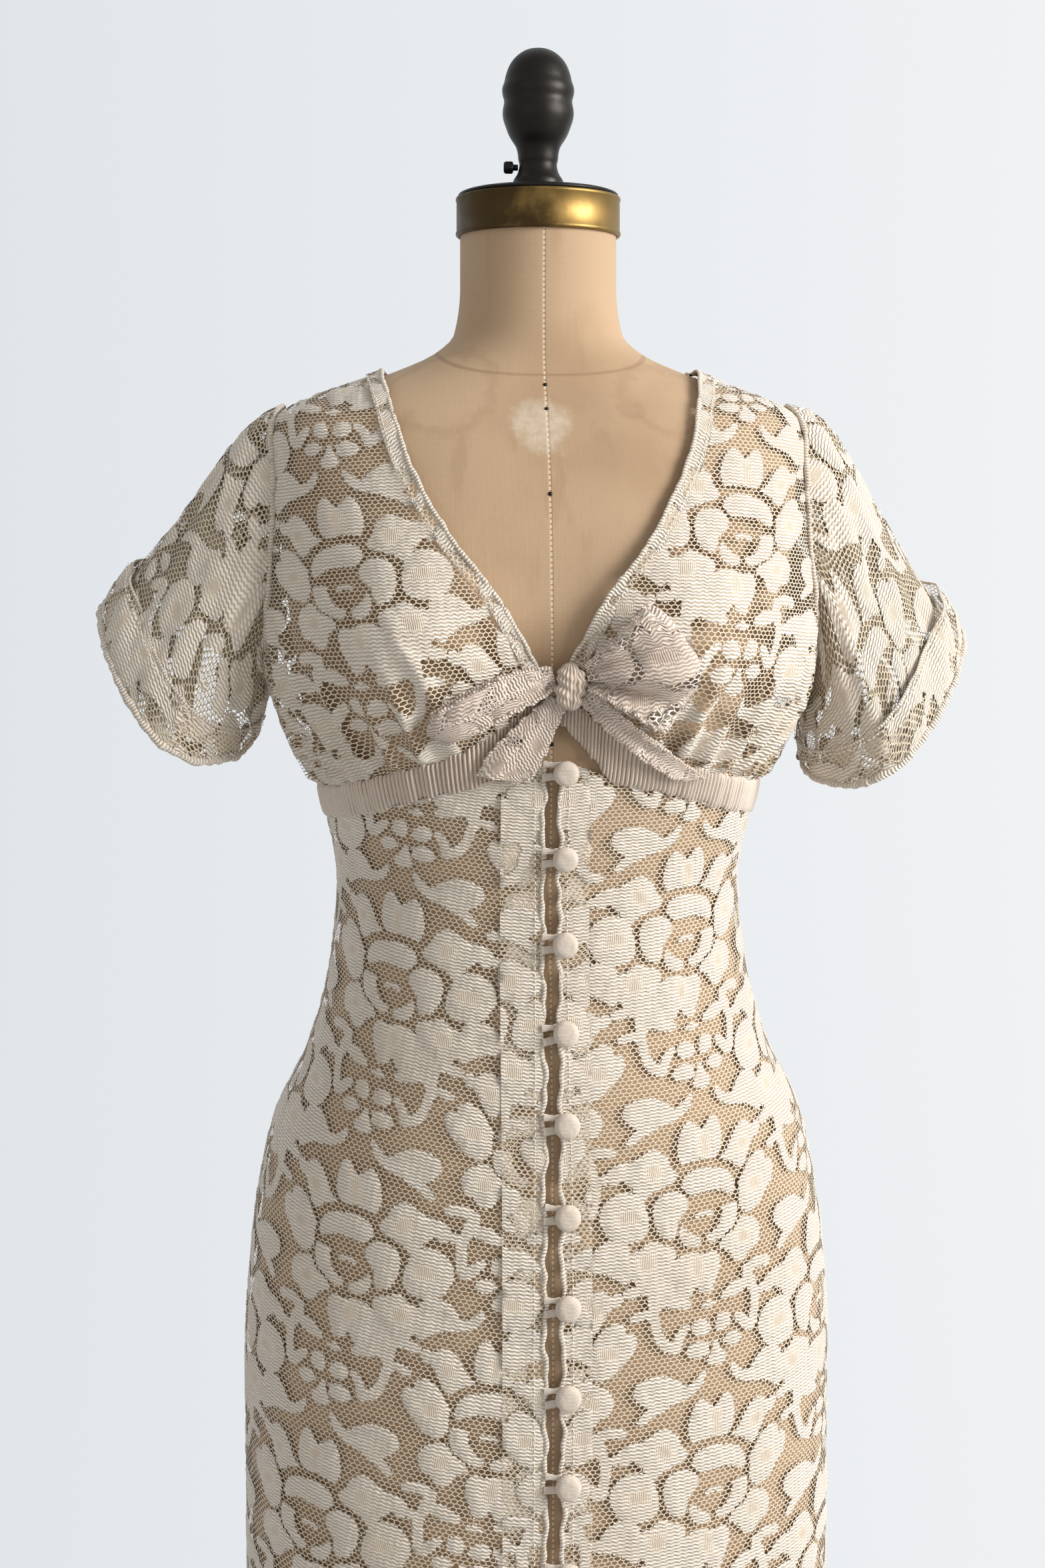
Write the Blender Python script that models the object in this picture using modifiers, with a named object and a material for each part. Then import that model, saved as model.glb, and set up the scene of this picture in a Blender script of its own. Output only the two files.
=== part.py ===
"""Button-front lace dress with a bust bow, standing on a limbless dress form with a plain stand.

The frame is +Z up with the origin on the floor under the pole, and the dress faces -Y.
A place on the body is given by its angle round the pole, 0 at the centre front and 90 at the +X side,
and by its height. Lengths are in metres and angles in degrees.
"""

import math
from collections import namedtuple

import bmesh
import bpy
import numpy as np
from mathutils import Vector

# Heights and sizes of the form and its stand
BASE_RADIUS = 0.205
BASE_RIM = 0.012
BASE_HEIGHT = 0.046
BASE_HUB_RADIUS = 0.030
POLE_RADIUS = 0.0125
FORM_BOTTOM = 0.580
NECK_TOP = 1.4850
COLLAR_RADIUS = 0.0528
COLLAR_WALL = 0.0022
COLLAR_BOTTOM = 1.4630
COLLAR_TOP = 1.4880
NECK_RADIUS = 0.0500
CAP_RADIUS = 0.0490
CAP_THICKNESS = 0.0030
FINIAL_TOP = 1.5840
FINIAL_STEM_RADIUS = 0.0127
SCREW_HEIGHT = 1.5074
SCREW_SHANK_RADIUS = 0.0020
SCREW_HEAD_RADIUS = 0.0040
SCREW_HEAD_LENGTH = 0.0060

# The cloth
WALL = 0.0012
TRIM_WALL = 0.0010
SEAM_GAP = 0.0003
LAYER_GAP = 0.0004
TRIM_GAP = 0.0008
FORM_CLEARANCE = 0.0030
SHOULDER_CLEARANCE = 0.0006
HEM_HEIGHT = 0.320
SIDE_ANGLE = 90.0
FRONT_EDGE = 0.0052
PLACKET_WIDTH_LEFT = 0.024
PLACKET_WIDTH_RIGHT = 0.017
HEM_FOLDS = 11
HEM_FOLD_DEPTH = 0.009
HEM_FOLD_START = 0.640
GATHERS = 7
GATHER_DEPTH = 0.0030
BAND_CRIMP_DEPTH = 0.0005

# The form's bust cups
BUST_APART = 0.085
BUST_HEIGHT = 1.205
BUST_RISE = 0.024
BUST_SPREAD = 0.050
BUST_DROP = 0.055

# Neckline and armhole
NECK_POINT_HEIGHT = 1.3735
BACK_NECK_HEIGHT = 1.3300
SHOULDER_TIP_HEIGHT = 1.3500
SHOULDER_SEAT = (1.3530, 1.3600)
SIDE_SEAM_SHARE = 0.24
ARMHOLE_BOTTOM = 1.1770
ARMHOLE_SPREAD = 20.0
ARMHOLE_HALF_WIDTH = 0.042
BACK_COLUMNS = 11
NECK_EDGE_WIDTH = 0.0085

# Buttons and their loops
BUTTONS = 14
BUTTON_FIRST_HEIGHT = 1.1385
BUTTON_STEP = 0.0510
BUTTON_X = 0.0078
BUTTON_RADIUS = 0.0076
BUTTON_DOME = 0.0044
SHANK_RADIUS = 0.0020
SHANK_HEIGHT = 0.0026
LOOP_CORD_RADIUS = 0.0008
LOOP_HALF_HEIGHT = 0.0034
LOOP_DROP = 0.0018

# The bow's knot
KNOT_X = 0.0105
KNOT_HEIGHT = 1.1905
KNOT_HALF_WIDTH = 0.0095
KNOT_HALF_HEIGHT = 0.0140
KNOT_HALF_DEPTH = 0.0060

Section = namedtuple("Section", "height half_width front back squareness")
BODY = [
    Section(*row)
    for row in (
        # height, half width, front depth, back depth, squareness
        (0.320, 0.2100, 0.1470, 0.1580, 2.05),
        (0.450, 0.1930, 0.1290, 0.1410, 2.10),
        (0.580, 0.1800, 0.1160, 0.1290, 2.15),
        (0.680, 0.1812, 0.1130, 0.1280, 2.15),
        (0.760, 0.1817, 0.1130, 0.1270, 2.15),
        (0.830, 0.1775, 0.1125, 0.1220, 2.15),
        (0.900, 0.1655, 0.1095, 0.1120, 2.15),
        (0.950, 0.1425, 0.1040, 0.1010, 2.15),
        (1.000, 0.1290, 0.0970, 0.0910, 2.15),
        (1.055, 0.1240, 0.0940, 0.0870, 2.15),
        (1.110, 0.1340, 0.0985, 0.0920, 2.20),
        (1.160, 0.1470, 0.1030, 0.0990, 2.25),
        (1.210, 0.1560, 0.1050, 0.1040, 2.30),
        (1.260, 0.1620, 0.1020, 0.1050, 2.40),
        (1.300, 0.1660, 0.0930, 0.1010, 2.50),
        (1.330, 0.1670, 0.0810, 0.0900, 2.45),
        (1.345, 0.1630, 0.0720, 0.0800, 2.35),
        (1.355, 0.1480, 0.0640, 0.0710, 2.25),
        (1.366, 0.1200, 0.0560, 0.0630, 2.20),
        (1.376, 0.0920, 0.0510, 0.0570, 2.15),
        (1.388, 0.0660, 0.0485, 0.0530, 2.10),
        (1.400, 0.0540, 0.0480, 0.0510, 2.05),
        (1.430, 0.0500, 0.0478, 0.0490, 2.00),
        (1.468, 0.0500, 0.0500, 0.0500, 2.00),
        (1.490, 0.0500, 0.0500, 0.0500, 2.00),
    )
]

Neckline = namedtuple("Neckline", "height x")
NECKLINE = [
    Neckline(*row)
    for row in (
        # height, distance of the front edge from the centre line
        (1.1830, 0.0052),
        (1.1990, 0.0085),
        (1.2200, 0.0205),
        (1.2400, 0.0330),
        (1.2680, 0.0545),
        (1.2940, 0.0700),
        (1.3220, 0.0834),
        (1.3460, 0.0910),
        (1.3735, 0.0990),
    )
]

Seam = namedtuple("Seam", "angle band_top band_bottom skirt_top")
UNDERBUST = [
    Seam(*row)
    for row in (
        # angle, top and bottom of the ribbed band, top of the skirt
        (0, 1.1830, 1.1710, 1.1460),
        (4, 1.1760, 1.1600, 1.1430),
        (8, 1.1670, 1.1470, 1.1390),
        (13, 1.1580, 1.1340, 1.1340),
        (20, 1.1495, 1.1295, 1.1295),
        (32, 1.1405, 1.1215, 1.1215),
        (50, 1.1290, 1.1110, 1.1110),
        (70, 1.1210, 1.1030, 1.1030),
        (90, 1.1170, 1.0990, 1.0990),
        (130, 1.1150, 1.0970, 1.0970),
        (180, 1.1145, 1.0965, 1.0965),
    )
]

Sleeve = namedtuple("Sleeve", "middle outer front cap cuff_flare")
SLEEVES = {
    # middle of the opening, reach to its outer point, reach to its front point, cap lift, cuff flare
    "l": Sleeve((-0.228, -0.004, 1.186), (-0.045, 0.000, 0.037), (0.000, -0.060, -0.037), 0.014, 0.003),
    "r": Sleeve((0.223, -0.006, 1.166), (0.051, 0.000, 0.037), (-0.010, -0.060, -0.036), 0.022, 0.004),
}
CUFF_WIDTH_OUTER = 0.034
CUFF_WIDTH_INNER = 0.012
SLEEVE_SEAM_ALLOWANCE = 0.0020

Tie = namedtuple("Tie", "x height half_width out")
BOW = {
    # along each ribbon from the knot: place across, height, half width, distance off the bodice
    "bow_loop_l": [
        Tie(0.0002, 1.1950, 0.0055, 0.0030),
        Tie(-0.0250, 1.1880, 0.0095, 0.0026),
        Tie(-0.0500, 1.1780, 0.0105, 0.0026),
        Tie(-0.0660, 1.1705, 0.0100, 0.0040),
        Tie(-0.0710, 1.1685, 0.0090, 0.0065),
        Tie(-0.0660, 1.1705, 0.0100, 0.0090),
        Tie(-0.0500, 1.1780, 0.0110, 0.0100),
        Tie(-0.0250, 1.1880, 0.0100, 0.0096),
        Tie(0.0002, 1.1950, 0.0060, 0.0070),
    ],
    "bow_loop_r": [
        Tie(0.0208, 1.1960, 0.0055, 0.0030),
        Tie(0.0400, 1.1995, 0.0150, 0.0026),
        Tie(0.0600, 1.2020, 0.0240, 0.0026),
        Tie(0.0740, 1.2035, 0.0295, 0.0045),
        Tie(0.0785, 1.2040, 0.0310, 0.0075),
        Tie(0.0740, 1.2035, 0.0305, 0.0105),
        Tie(0.0600, 1.2020, 0.0250, 0.0120),
        Tie(0.0400, 1.1995, 0.0160, 0.0110),
        Tie(0.0208, 1.1960, 0.0060, 0.0070),
    ],
    "bow_tail_l": [
        Tie(0.0028, 1.1818, 0.0050, 0.0065),
        Tie(-0.0070, 1.1690, 0.0090, 0.0055),
        Tie(-0.0160, 1.1570, 0.0125, 0.0060),
        Tie(-0.0240, 1.1460, 0.0140, 0.0058),
        Tie(-0.0300, 1.1370, 0.0130, 0.0052),
    ],
    "bow_tail_r": [
        Tie(0.0195, 1.1852, 0.0045, 0.0065),
        Tie(0.0340, 1.1720, 0.0060, 0.0060),
        Tie(0.0500, 1.1590, 0.0065, 0.0060),
        Tie(0.0660, 1.1460, 0.0060, 0.0055),
        Tie(0.0800, 1.1350, 0.0045, 0.0050),
    ],
}


def smooth_curve(x, knots, values):
    """Values at x of a smooth curve through the knots that never overshoots them."""
    knots, values = np.asarray(knots, float), np.asarray(values, float)
    step = np.diff(knots)
    slope = np.diff(values) / step
    tangent = np.zeros(len(knots))
    same_way = slope[:-1] * slope[1:] > 0
    weight_a, weight_b = 2 * step[1:] + step[:-1], step[1:] + 2 * step[:-1]
    below = np.where(same_way, weight_a * slope[1:] + weight_b * slope[:-1], 1.0)
    inner = (weight_a + weight_b) * slope[:-1] * slope[1:] / below
    tangent[1:-1] = np.where(same_way, inner, 0.0)
    tangent[0], tangent[-1] = slope[0], slope[-1]
    place = np.clip(np.searchsorted(knots, x) - 1, 0, len(step) - 1)
    t = np.clip((x - knots[place]) / step[place], 0, 1)
    h = step[place]
    return (
        (2 * t**3 - 3 * t**2 + 1) * values[place]
        + (t**3 - 2 * t**2 + t) * h * tangent[place]
        + (3 * t**2 - 2 * t**3) * values[place + 1]
        + (t**3 - t**2) * h * tangent[place + 1]
    )


def ease(x, low, high):
    """0 below low, 1 above high, and a soft step between them."""
    t = np.clip((x - low) / (high - low), 0, 1)
    return t * t * (3 - 2 * t)


def section_at(height):
    """Half width, front depth, back depth and squareness of the body at a height."""
    heights = [row.height for row in BODY]
    return [smooth_curve(height, heights, [row[k] for row in BODY]) for k in (1, 2, 3, 4)]


def body_point(angle, height):
    """Points on the form's skin, as an array that ends in x, y, z."""
    angle, height = np.broadcast_arrays(np.asarray(angle, float), np.asarray(height, float))
    half, front, back, square = section_at(height)
    turn = np.radians(angle)
    across, along = np.sin(turn), np.cos(turn)
    power = 2 / square
    x = half * np.sign(across) * np.abs(across) ** power
    depth = np.where(along > 0, front, back)
    y = -depth * np.sign(along) * np.abs(along) ** power
    cups = sum(
        np.exp(-(((x - side * BUST_APART) / BUST_SPREAD) ** 2) - ((height - BUST_HEIGHT) / BUST_DROP) ** 2)
        for side in (-1, 1)
    )
    y = y - BUST_RISE * cups * ease(along, 0.0, 0.35)
    return np.stack([x, y, height + 0 * x], axis=-1)


def skin_normal(angle, height):
    """Outward unit normals of the form's skin."""
    turn, rise = 0.6, 0.0015
    along = body_point(np.asarray(angle) + turn, height) - body_point(np.asarray(angle) - turn, height)
    up = body_point(angle, np.asarray(height) + rise) - body_point(angle, np.asarray(height) - rise)
    normal = np.cross(along, up)
    return normal / np.linalg.norm(normal, axis=-1, keepdims=True)


def off_body(angle, height, out):
    """Points held out from the form's skin by a distance."""
    return body_point(angle, height) + skin_normal(angle, height) * np.asarray(out)[..., None]


def angle_of_x(x, height):
    """The angle of the point of the front at that distance from the centre line."""
    half, _, _, square = section_at(np.asarray(height, float))
    share = np.clip(np.abs(x) / half, 0, 1)
    return np.sign(x) * np.degrees(np.arcsin(share ** (square / 2)))


def seam_height(angle, column):
    """Height of one of the lines under the bust at an angle."""
    turn = 180 - np.abs(180 - np.abs(angle))
    return smooth_curve(turn, [row.angle for row in UNDERBUST], [getattr(row, column) for row in UNDERBUST])


def clearance(angle, height):
    """How far the cloth's inner face is from the form: resting on the shoulder ridge, looser elsewhere."""
    on_ridge = 1 - ease(np.abs(np.abs(angle) - SIDE_ANGLE), 0.5, 12)
    on_top = ease(height, *SHOULDER_SEAT)
    seat = on_ridge * on_top
    return SHOULDER_CLEARANCE * seat + FORM_CLEARANCE * (1 - seat)


def bodice_out(angle, height):
    """How far the bodice's inner face is from the form: roomy round the bust, most at the sides."""
    rise = ease(height - seam_height(angle, "band_top"), 0.0, 0.075) * (1 - ease(height, 1.205, 1.330))
    sideways = 0.25 + 0.75 * ease(np.abs(angle), 15, 75)
    back = 1 - 0.75 * ease(np.abs(angle), 95, 140)
    return clearance(angle, height) + 0.017 * rise * sideways * back


def skirt_out(angle, height):
    """How far the skirt's inner face is from the body, with soft folds that grow towards the hem."""
    wave = 0.5 + 0.5 * np.cos(np.radians(angle * HEM_FOLDS + 25 * np.sin(np.radians(3 * angle))))
    grow = 1 - ease(height, HEM_HEIGHT, HEM_FOLD_START)
    return FORM_CLEARANCE + HEM_FOLD_DEPTH * wave * grow


def material(name, colour, roughness, metallic=0.0):
    """A plain finish."""
    made = bpy.data.materials.new(name)
    made.use_nodes = True
    shader = made.node_tree.nodes["Principled BSDF"]
    shader.inputs["Base Color"].default_value = (*colour, 1.0)
    shader.inputs["Roughness"].default_value = roughness
    shader.inputs["Metallic"].default_value = metallic
    return made


def add_object(name, data, finish):
    """A named object of the model."""
    made = bpy.data.objects.new(name, data)
    PARTS.objects.link(made)
    data.materials.append(finish)
    return made


def grid_mesh(name, points, closed=False):
    """A sheet of quads through rows and columns of points, whose front is on the side of columns x rows."""
    rows, columns = points.shape[:2]
    bm = bmesh.new()
    bmesh.ops.create_grid(bm, x_segments=columns - 1, y_segments=rows - 1, size=1.0)
    for vert in bm.verts:
        column = round((vert.co.x + 1) / 2 * (columns - 1))
        row = round((vert.co.y + 1) / 2 * (rows - 1))
        vert.co = Vector(points[row, column])
    if closed:
        bmesh.ops.remove_doubles(bm, verts=bm.verts, dist=1e-6)
    mesh = bpy.data.meshes.new(name)
    bm.to_mesh(mesh)
    bm.free()
    mesh.shade_smooth()
    return mesh


def cloth(name, points, finish, wall=WALL, closed=False, mirrored=False):
    """A cloth wall whose inner face runs through rows and columns of points."""
    made = add_object(name, grid_mesh(name, points, closed), finish)
    if mirrored:
        mirror = made.modifiers.new("Mirror", "MIRROR")
        mirror.merge_threshold = 0.0001
    solid = made.modifiers.new("Solidify", "SOLIDIFY")
    solid.thickness = wall
    solid.offset = 1.0
    return made


def flipped(points):
    """The same sheet on the -X side, with its columns turned round so that its front stays outwards."""
    return (points * np.array([-1.0, 1.0, 1.0]))[:, ::-1]


def turned(name, profile, steps, finish):
    """A solid of revolution about its own Z, from (radius, height) points, top to bottom."""
    ring = profile[0] == profile[-1]
    count = len(profile) - ring
    edges = [(i, (i + 1) % count) for i in range(len(profile) - 1)]
    mesh = bpy.data.meshes.new(name)
    mesh.from_pydata([(radius, 0.0, height) for radius, height in profile[:count]], edges, [])
    made = add_object(name, mesh, finish)
    screw = made.modifiers.new("Screw", "SCREW")
    screw.steps = screw.render_steps = steps
    screw.use_merge_vertices = True
    screw.merge_threshold = 0.00001
    screw.use_smooth_shade = True
    return made


def build_torso():
    """The padded torso and neck, lofted through the body's sections."""
    around = 32
    low = list(np.linspace(FORM_BOTTOM, 0.900, 6))
    middle = [0.950, 0.9875, 1.0275, 1.0700, 1.110, 1.1450, 1.1780, 1.2100, 1.2420, 1.2740, 1.3050, 1.330]
    shoulder = [1.345, SHOULDER_TIP_HEIGHT, 1.355, 1.366, NECK_POINT_HEIGHT, 1.388, 1.400, 1.430, NECK_TOP]
    levels = low + middle + shoulder
    angles = np.linspace(0, 360, around + 1)
    points = body_point(angles[None, :], np.array(levels)[:, None])
    points[:, -1] = points[:, 0]
    mesh = grid_mesh("form_torso", points, closed=True)
    bm = bmesh.new()
    bm.from_mesh(mesh)
    bmesh.ops.holes_fill(bm, edges=[edge for edge in bm.edges if edge.is_boundary], sides=0)
    bmesh.ops.recalc_face_normals(bm, faces=bm.faces)
    bm.to_mesh(mesh)
    bm.free()
    add_object("form_torso", mesh, LINEN)


def build_neck_hardware():
    """The brass collar, the cap plate, the turned finial and its set screw."""
    inner = NECK_RADIUS + LAYER_GAP
    turned(
        "neck_collar",
        [
            (inner, COLLAR_TOP),
            (COLLAR_RADIUS - 0.0006, COLLAR_TOP),
            (COLLAR_RADIUS, COLLAR_TOP - 0.0008),
            (COLLAR_RADIUS, COLLAR_BOTTOM),
            (inner, COLLAR_BOTTOM),
            (inner, COLLAR_TOP),
        ],
        32,
        BRASS,
    )
    lip = COLLAR_TOP + LAYER_GAP
    cap_low = NECK_TOP + LAYER_GAP
    turned(
        "neck_cap",
        [
            (0.0, lip + CAP_THICKNESS),
            (CAP_RADIUS, lip + CAP_THICKNESS),
            (CAP_RADIUS + 0.0022, lip + 0.0016),
            (CAP_RADIUS + 0.0022, lip),
            (CAP_RADIUS, lip),
            (CAP_RADIUS, cap_low),
            (0.0, cap_low),
        ],
        32,
        IRON,
    )
    foot = lip + CAP_THICKNESS + LAYER_GAP
    height = FINIAL_TOP - foot
    profile = [
        # radius in millimetres, share of the finial's height
        (0.0, 1.000), (9.2, 0.982), (13.9, 0.945), (17.6, 0.901), (19.8, 0.850), (21.6, 0.787),
        (21.8, 0.760), (23.5, 0.704), (21.4, 0.629), (23.2, 0.551), (22.8, 0.510), (20.8, 0.453),
        (17.6, 0.365), (14.8, 0.328), (13.6, 0.300), (12.9, 0.217), (11.8, 0.198), (12.4, 0.150),
        (15.8, 0.087), (16.0, 0.000), (0.0, 0.000),
    ]
    turned("finial", [(radius / 1000, foot + share * height) for radius, share in profile], 16, IRON)
    screw_length = SCREW_HEAD_LENGTH + 0.0030
    screw = turned(
        "set_screw",
        [
            (0.0, screw_length),
            (SCREW_HEAD_RADIUS - 0.0008, screw_length),
            (SCREW_HEAD_RADIUS, screw_length - 0.0008),
            (SCREW_HEAD_RADIUS, 0.0036),
            (SCREW_SHANK_RADIUS, 0.0028),
            (SCREW_SHANK_RADIUS, 0.0),
            (0.0, 0.0),
        ],
        12,
        IRON,
    )
    screw.location = (-(FINIAL_STEM_RADIUS + SEAM_GAP), 0.0, SCREW_HEIGHT)
    screw.rotation_euler = (0.0, math.radians(-90), 0.0)


def build_stand():
    """The plain pole and the round cast base that the form stands on."""
    turned(
        "stand_base",
        [
            (0.0, BASE_HEIGHT),
            (BASE_HUB_RADIUS, BASE_HEIGHT),
            (BASE_HUB_RADIUS + 0.006, BASE_HEIGHT - 0.014),
            (0.5 * BASE_RADIUS, BASE_HEIGHT - 0.024),
            (BASE_RADIUS - 0.008, BASE_RIM),
            (BASE_RADIUS, BASE_RIM - 0.005),
            (BASE_RADIUS, 0.0),
            (0.0, 0.0),
        ],
        32,
        IRON,
    )
    low = BASE_HEIGHT + SEAM_GAP
    high = FORM_BOTTOM - SEAM_GAP
    bm = bmesh.new()
    bmesh.ops.create_cone(
        bm, cap_ends=True, segments=20, radius1=POLE_RADIUS, radius2=POLE_RADIUS, depth=high - low
    )
    mesh = bpy.data.meshes.new("stand_pole")
    bm.to_mesh(mesh)
    bm.free()
    pole = add_object("stand_pole", mesh, IRON)
    pole.location.z = (low + high) / 2


def pattern_piece(bottom, top, inner, outer, columns, rows):
    """Chart points (angle, height) of a four-sided piece, at shares of its width and height."""
    s = columns[None, :, None]
    t = rows[:, None, None]
    corners = (
        (1 - s) * (1 - t) * bottom[0] + s * (1 - t) * bottom[-1] + (1 - s) * t * top[0] + s * t * top[-1]
    )
    return (1 - t) * bottom + t * top + (1 - s) * inner[:, None] + s * outer[:, None] - corners


def armhole_edge(climb, way, inset=0.0):
    """The armhole's edge from the armpit up to the shoulder tip, on the front or the back."""
    middle = (SHOULDER_TIP_HEIGHT + ARMHOLE_BOTTOM) / 2
    reach = (SHOULDER_TIP_HEIGHT - ARMHOLE_BOTTOM) / 2 - inset
    spread = ARMHOLE_SPREAD * (1 - inset / ARMHOLE_HALF_WIDTH)
    turn = np.pi * climb
    return np.stack([SIDE_ANGLE + way * spread * np.sin(turn), middle - reach * np.cos(turn)], axis=-1)


def outer_edge(rows, way):
    """The bodice's side seam up to the armpit and then its armhole edge."""
    low = seam_height(SIDE_ANGLE, "band_top") + SEAM_GAP / 2
    up_side = low + (ARMHOLE_BOTTOM - low) * rows / SIDE_SEAM_SHARE
    side = np.stack([np.full_like(rows, SIDE_ANGLE), up_side], axis=-1)
    climb = np.clip((rows - SIDE_SEAM_SHARE) / (1 - SIDE_SEAM_SHARE), 0, 1)
    return np.where((rows < SIDE_SEAM_SHARE)[:, None], side, armhole_edge(climb, way))


def armhole_climb():
    """Shares of the armhole's rise at which its points lie, on the bodice and on the sleeve."""
    return np.array([0.0, 0.16, 0.33, 0.50, 0.67, 0.82, 0.93, 0.98, 1.0])


def bodice_rows():
    """Shares of the bodice's height for its rows: up the side seam and then up the armhole."""
    return np.concatenate([[0.0, 0.07, 0.15], SIDE_SEAM_SHARE + (1 - SIDE_SEAM_SHARE) * armhole_climb()])


def gather_columns():
    """Shares of the front's width for its columns: two to a gather, so that crests and troughs alternate."""
    return np.concatenate([[0.0, 0.10, 0.20, 0.30], np.linspace(0.38, 0.965, 2 * GATHERS), [1.0]])


def gather_wave():
    """1 on a crest of a gather and 0 in a trough, for the columns of gather_columns."""
    wave = np.zeros(5 + 2 * GATHERS)
    wave[4 : 4 + 2 * GATHERS : 2] = 1.0
    return wave


def front_angles(columns):
    """Angles of the columns along the seams under the bust."""
    start = angle_of_x(FRONT_EDGE, seam_height(0.0, "skirt_top"))
    return start + (SIDE_ANGLE - start) * columns


def bodice_front_points(out=0.0):
    """The inner face of one front of the bodice on the +X side, with its gathers over the band."""
    columns, rows = gather_columns(), bodice_rows()
    angles = front_angles(columns)
    bottom = np.stack([angles, seam_height(angles, "band_top") + SEAM_GAP / 2], axis=-1)
    shoulder = NECK_POINT_HEIGHT + (SHOULDER_TIP_HEIGHT - NECK_POINT_HEIGHT) * columns
    top = np.stack([np.full_like(shoulder, SIDE_ANGLE), shoulder], axis=-1)
    height = bottom[0, 1] + (NECK_POINT_HEIGHT - bottom[0, 1]) * rows
    neck_x = smooth_curve(height, [row.height for row in NECKLINE], [row.x for row in NECKLINE])
    inner = np.stack([angle_of_x(neck_x, height), height], axis=-1)
    inner[0], inner[-1] = bottom[0], top[0]
    chart = pattern_piece(bottom, top, inner, outer_edge(rows, -1), columns, rows)
    angle, height = chart[..., 0], chart[..., 1]
    at_seam = BAND_CRIMP_DEPTH / GATHER_DEPTH
    swell = (np.exp(-rows / 0.18) * (1 - (1 - at_seam) * np.exp(-rows / 0.03)))[:, None]
    points = off_body(angle, height, bodice_out(angle, height) + GATHER_DEPTH * swell * gather_wave() + out)
    points[..., 1] = np.minimum(points[..., 1], -SEAM_GAP / 2)
    return points


def bodice_back_points():
    """The inner face of half the back, from the centre back to the side and up to the shoulder."""
    columns, rows = np.linspace(0, 1, BACK_COLUMNS), bodice_rows()
    angles = 180 + (SIDE_ANGLE - 180) * columns
    bottom = np.stack([angles, seam_height(angles, "band_top") + SEAM_GAP / 2], axis=-1)
    shoulder = NECK_POINT_HEIGHT + (SHOULDER_TIP_HEIGHT - NECK_POINT_HEIGHT) * columns
    top = np.stack([np.full_like(shoulder, SIDE_ANGLE), shoulder], axis=-1)
    straight = 0.62
    climb = np.clip((rows - straight) / (1 - straight), 0, 1)
    height = bottom[0, 1] + (BACK_NECK_HEIGHT - bottom[0, 1]) * np.clip(rows / straight, 0, 1)
    height = height + (NECK_POINT_HEIGHT - BACK_NECK_HEIGHT) * climb**1.6
    neck_x = section_at(NECK_POINT_HEIGHT)[0] * climb**0.75
    inner = np.stack([180 - angle_of_x(neck_x, height), height], axis=-1)
    inner[-1] = top[0]
    chart = pattern_piece(bottom, top, inner, outer_edge(rows, 1), columns, rows)
    angle, height = chart[..., 0], chart[..., 1]
    crimp = BAND_CRIMP_DEPTH * (np.arange(BACK_COLUMNS) % 2) * np.exp(-rows / 0.1)[:, None]
    points = off_body(angle, height, bodice_out(angle, height) + crimp)
    points[..., 1] = np.maximum(points[..., 1], SEAM_GAP / 2)
    points[np.isclose(angle, 180.0), 0] = 0.0
    return points


def build_bodice():
    """The two fronts and the back of the bodice, and the narrow folded edges along the neckline."""
    front = bodice_front_points()
    cloth("bodice_front_l", flipped(front), LACE)
    cloth("bodice_front_r", front, LACE)
    cloth("bodice_back", bodice_back_points()[:, ::-1], LACE, mirrored=True)
    lifted = bodice_front_points(out=WALL + TRIM_GAP)
    edge = np.stack([along_row(line, np.array([0.0, 0.5, 1.0]) * NECK_EDGE_WIDTH) for line in lifted])
    cloth("neck_edge_l", flipped(edge), TRIM, wall=TRIM_WALL)
    cloth("neck_edge_r", edge, TRIM, wall=TRIM_WALL)


def along_row(line, reach):
    """Points at distances along a row of points."""
    run = np.concatenate([[0.0], np.cumsum(np.linalg.norm(np.diff(line, axis=0), axis=1))])
    return np.stack([np.interp(reach, run, line[:, k]) for k in range(3)], axis=-1)


def band_points(angles, low, high, crimp):
    """The inner face of a stretch of the ribbed band between its lower and upper edges."""
    share = np.array([0.0, 0.5, 1.0])[:, None]
    height = low + SEAM_GAP / 2 + (high - low - SEAM_GAP) * share
    return off_body(angles + 0 * height, height, FORM_CLEARANCE + BAND_CRIMP_DEPTH * crimp + 0 * height)


def build_band():
    """The ribbed band under the bust: two fronts that rise to the knot, and the back."""
    angles = front_angles(gather_columns())
    knots = front_angles(skirt_columns())
    low = np.interp(angles, knots, seam_height(knots, "band_bottom"))
    front = band_points(angles, low, seam_height(angles, "band_top"), gather_wave())
    front[..., 1] = np.minimum(front[..., 1], -SEAM_GAP / 2)
    cloth("band_front_l", flipped(front), TRIM)
    cloth("band_front_r", front, TRIM)
    angles = np.linspace(SIDE_ANGLE, 360 - SIDE_ANGLE, 2 * BACK_COLUMNS - 1)
    crimp = (np.arange(2 * BACK_COLUMNS - 1) + BACK_COLUMNS + 1) % 2
    back = band_points(angles, seam_height(angles, "band_bottom"), seam_height(angles, "band_top"), crimp)
    back[..., 1] = np.maximum(back[..., 1], SEAM_GAP / 2)
    cloth("band_back", back, TRIM)


def skirt_columns():
    """Shares of the front's width for the skirt's columns: every second one of the gathered part's."""
    columns = gather_columns()
    return np.concatenate([columns[:4], columns[4:-1:2], columns[-1:]])


def skirt_rows():
    """Shares of the skirt's height for its rows, from the hem up, closer together over the hips and waist."""
    return np.array([0.0, 0.13, 0.26, 0.38, 0.49, 0.58, 0.66, 0.74, 0.82, 0.90, 1.0])


def skirt_points(start, end, columns, out=0.0):
    """The inner face of a stretch of the skirt, with its rows from the hem up."""
    angles = start[:, None] + (end - start[:, None]) * columns[None, :]
    top = seam_height(angles, "skirt_top") - SEAM_GAP / 2
    height = HEM_HEIGHT + (top - HEM_HEIGHT) * skirt_rows()[:, None]
    return off_body(angles, height, skirt_out(angles, height) + out)


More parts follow.
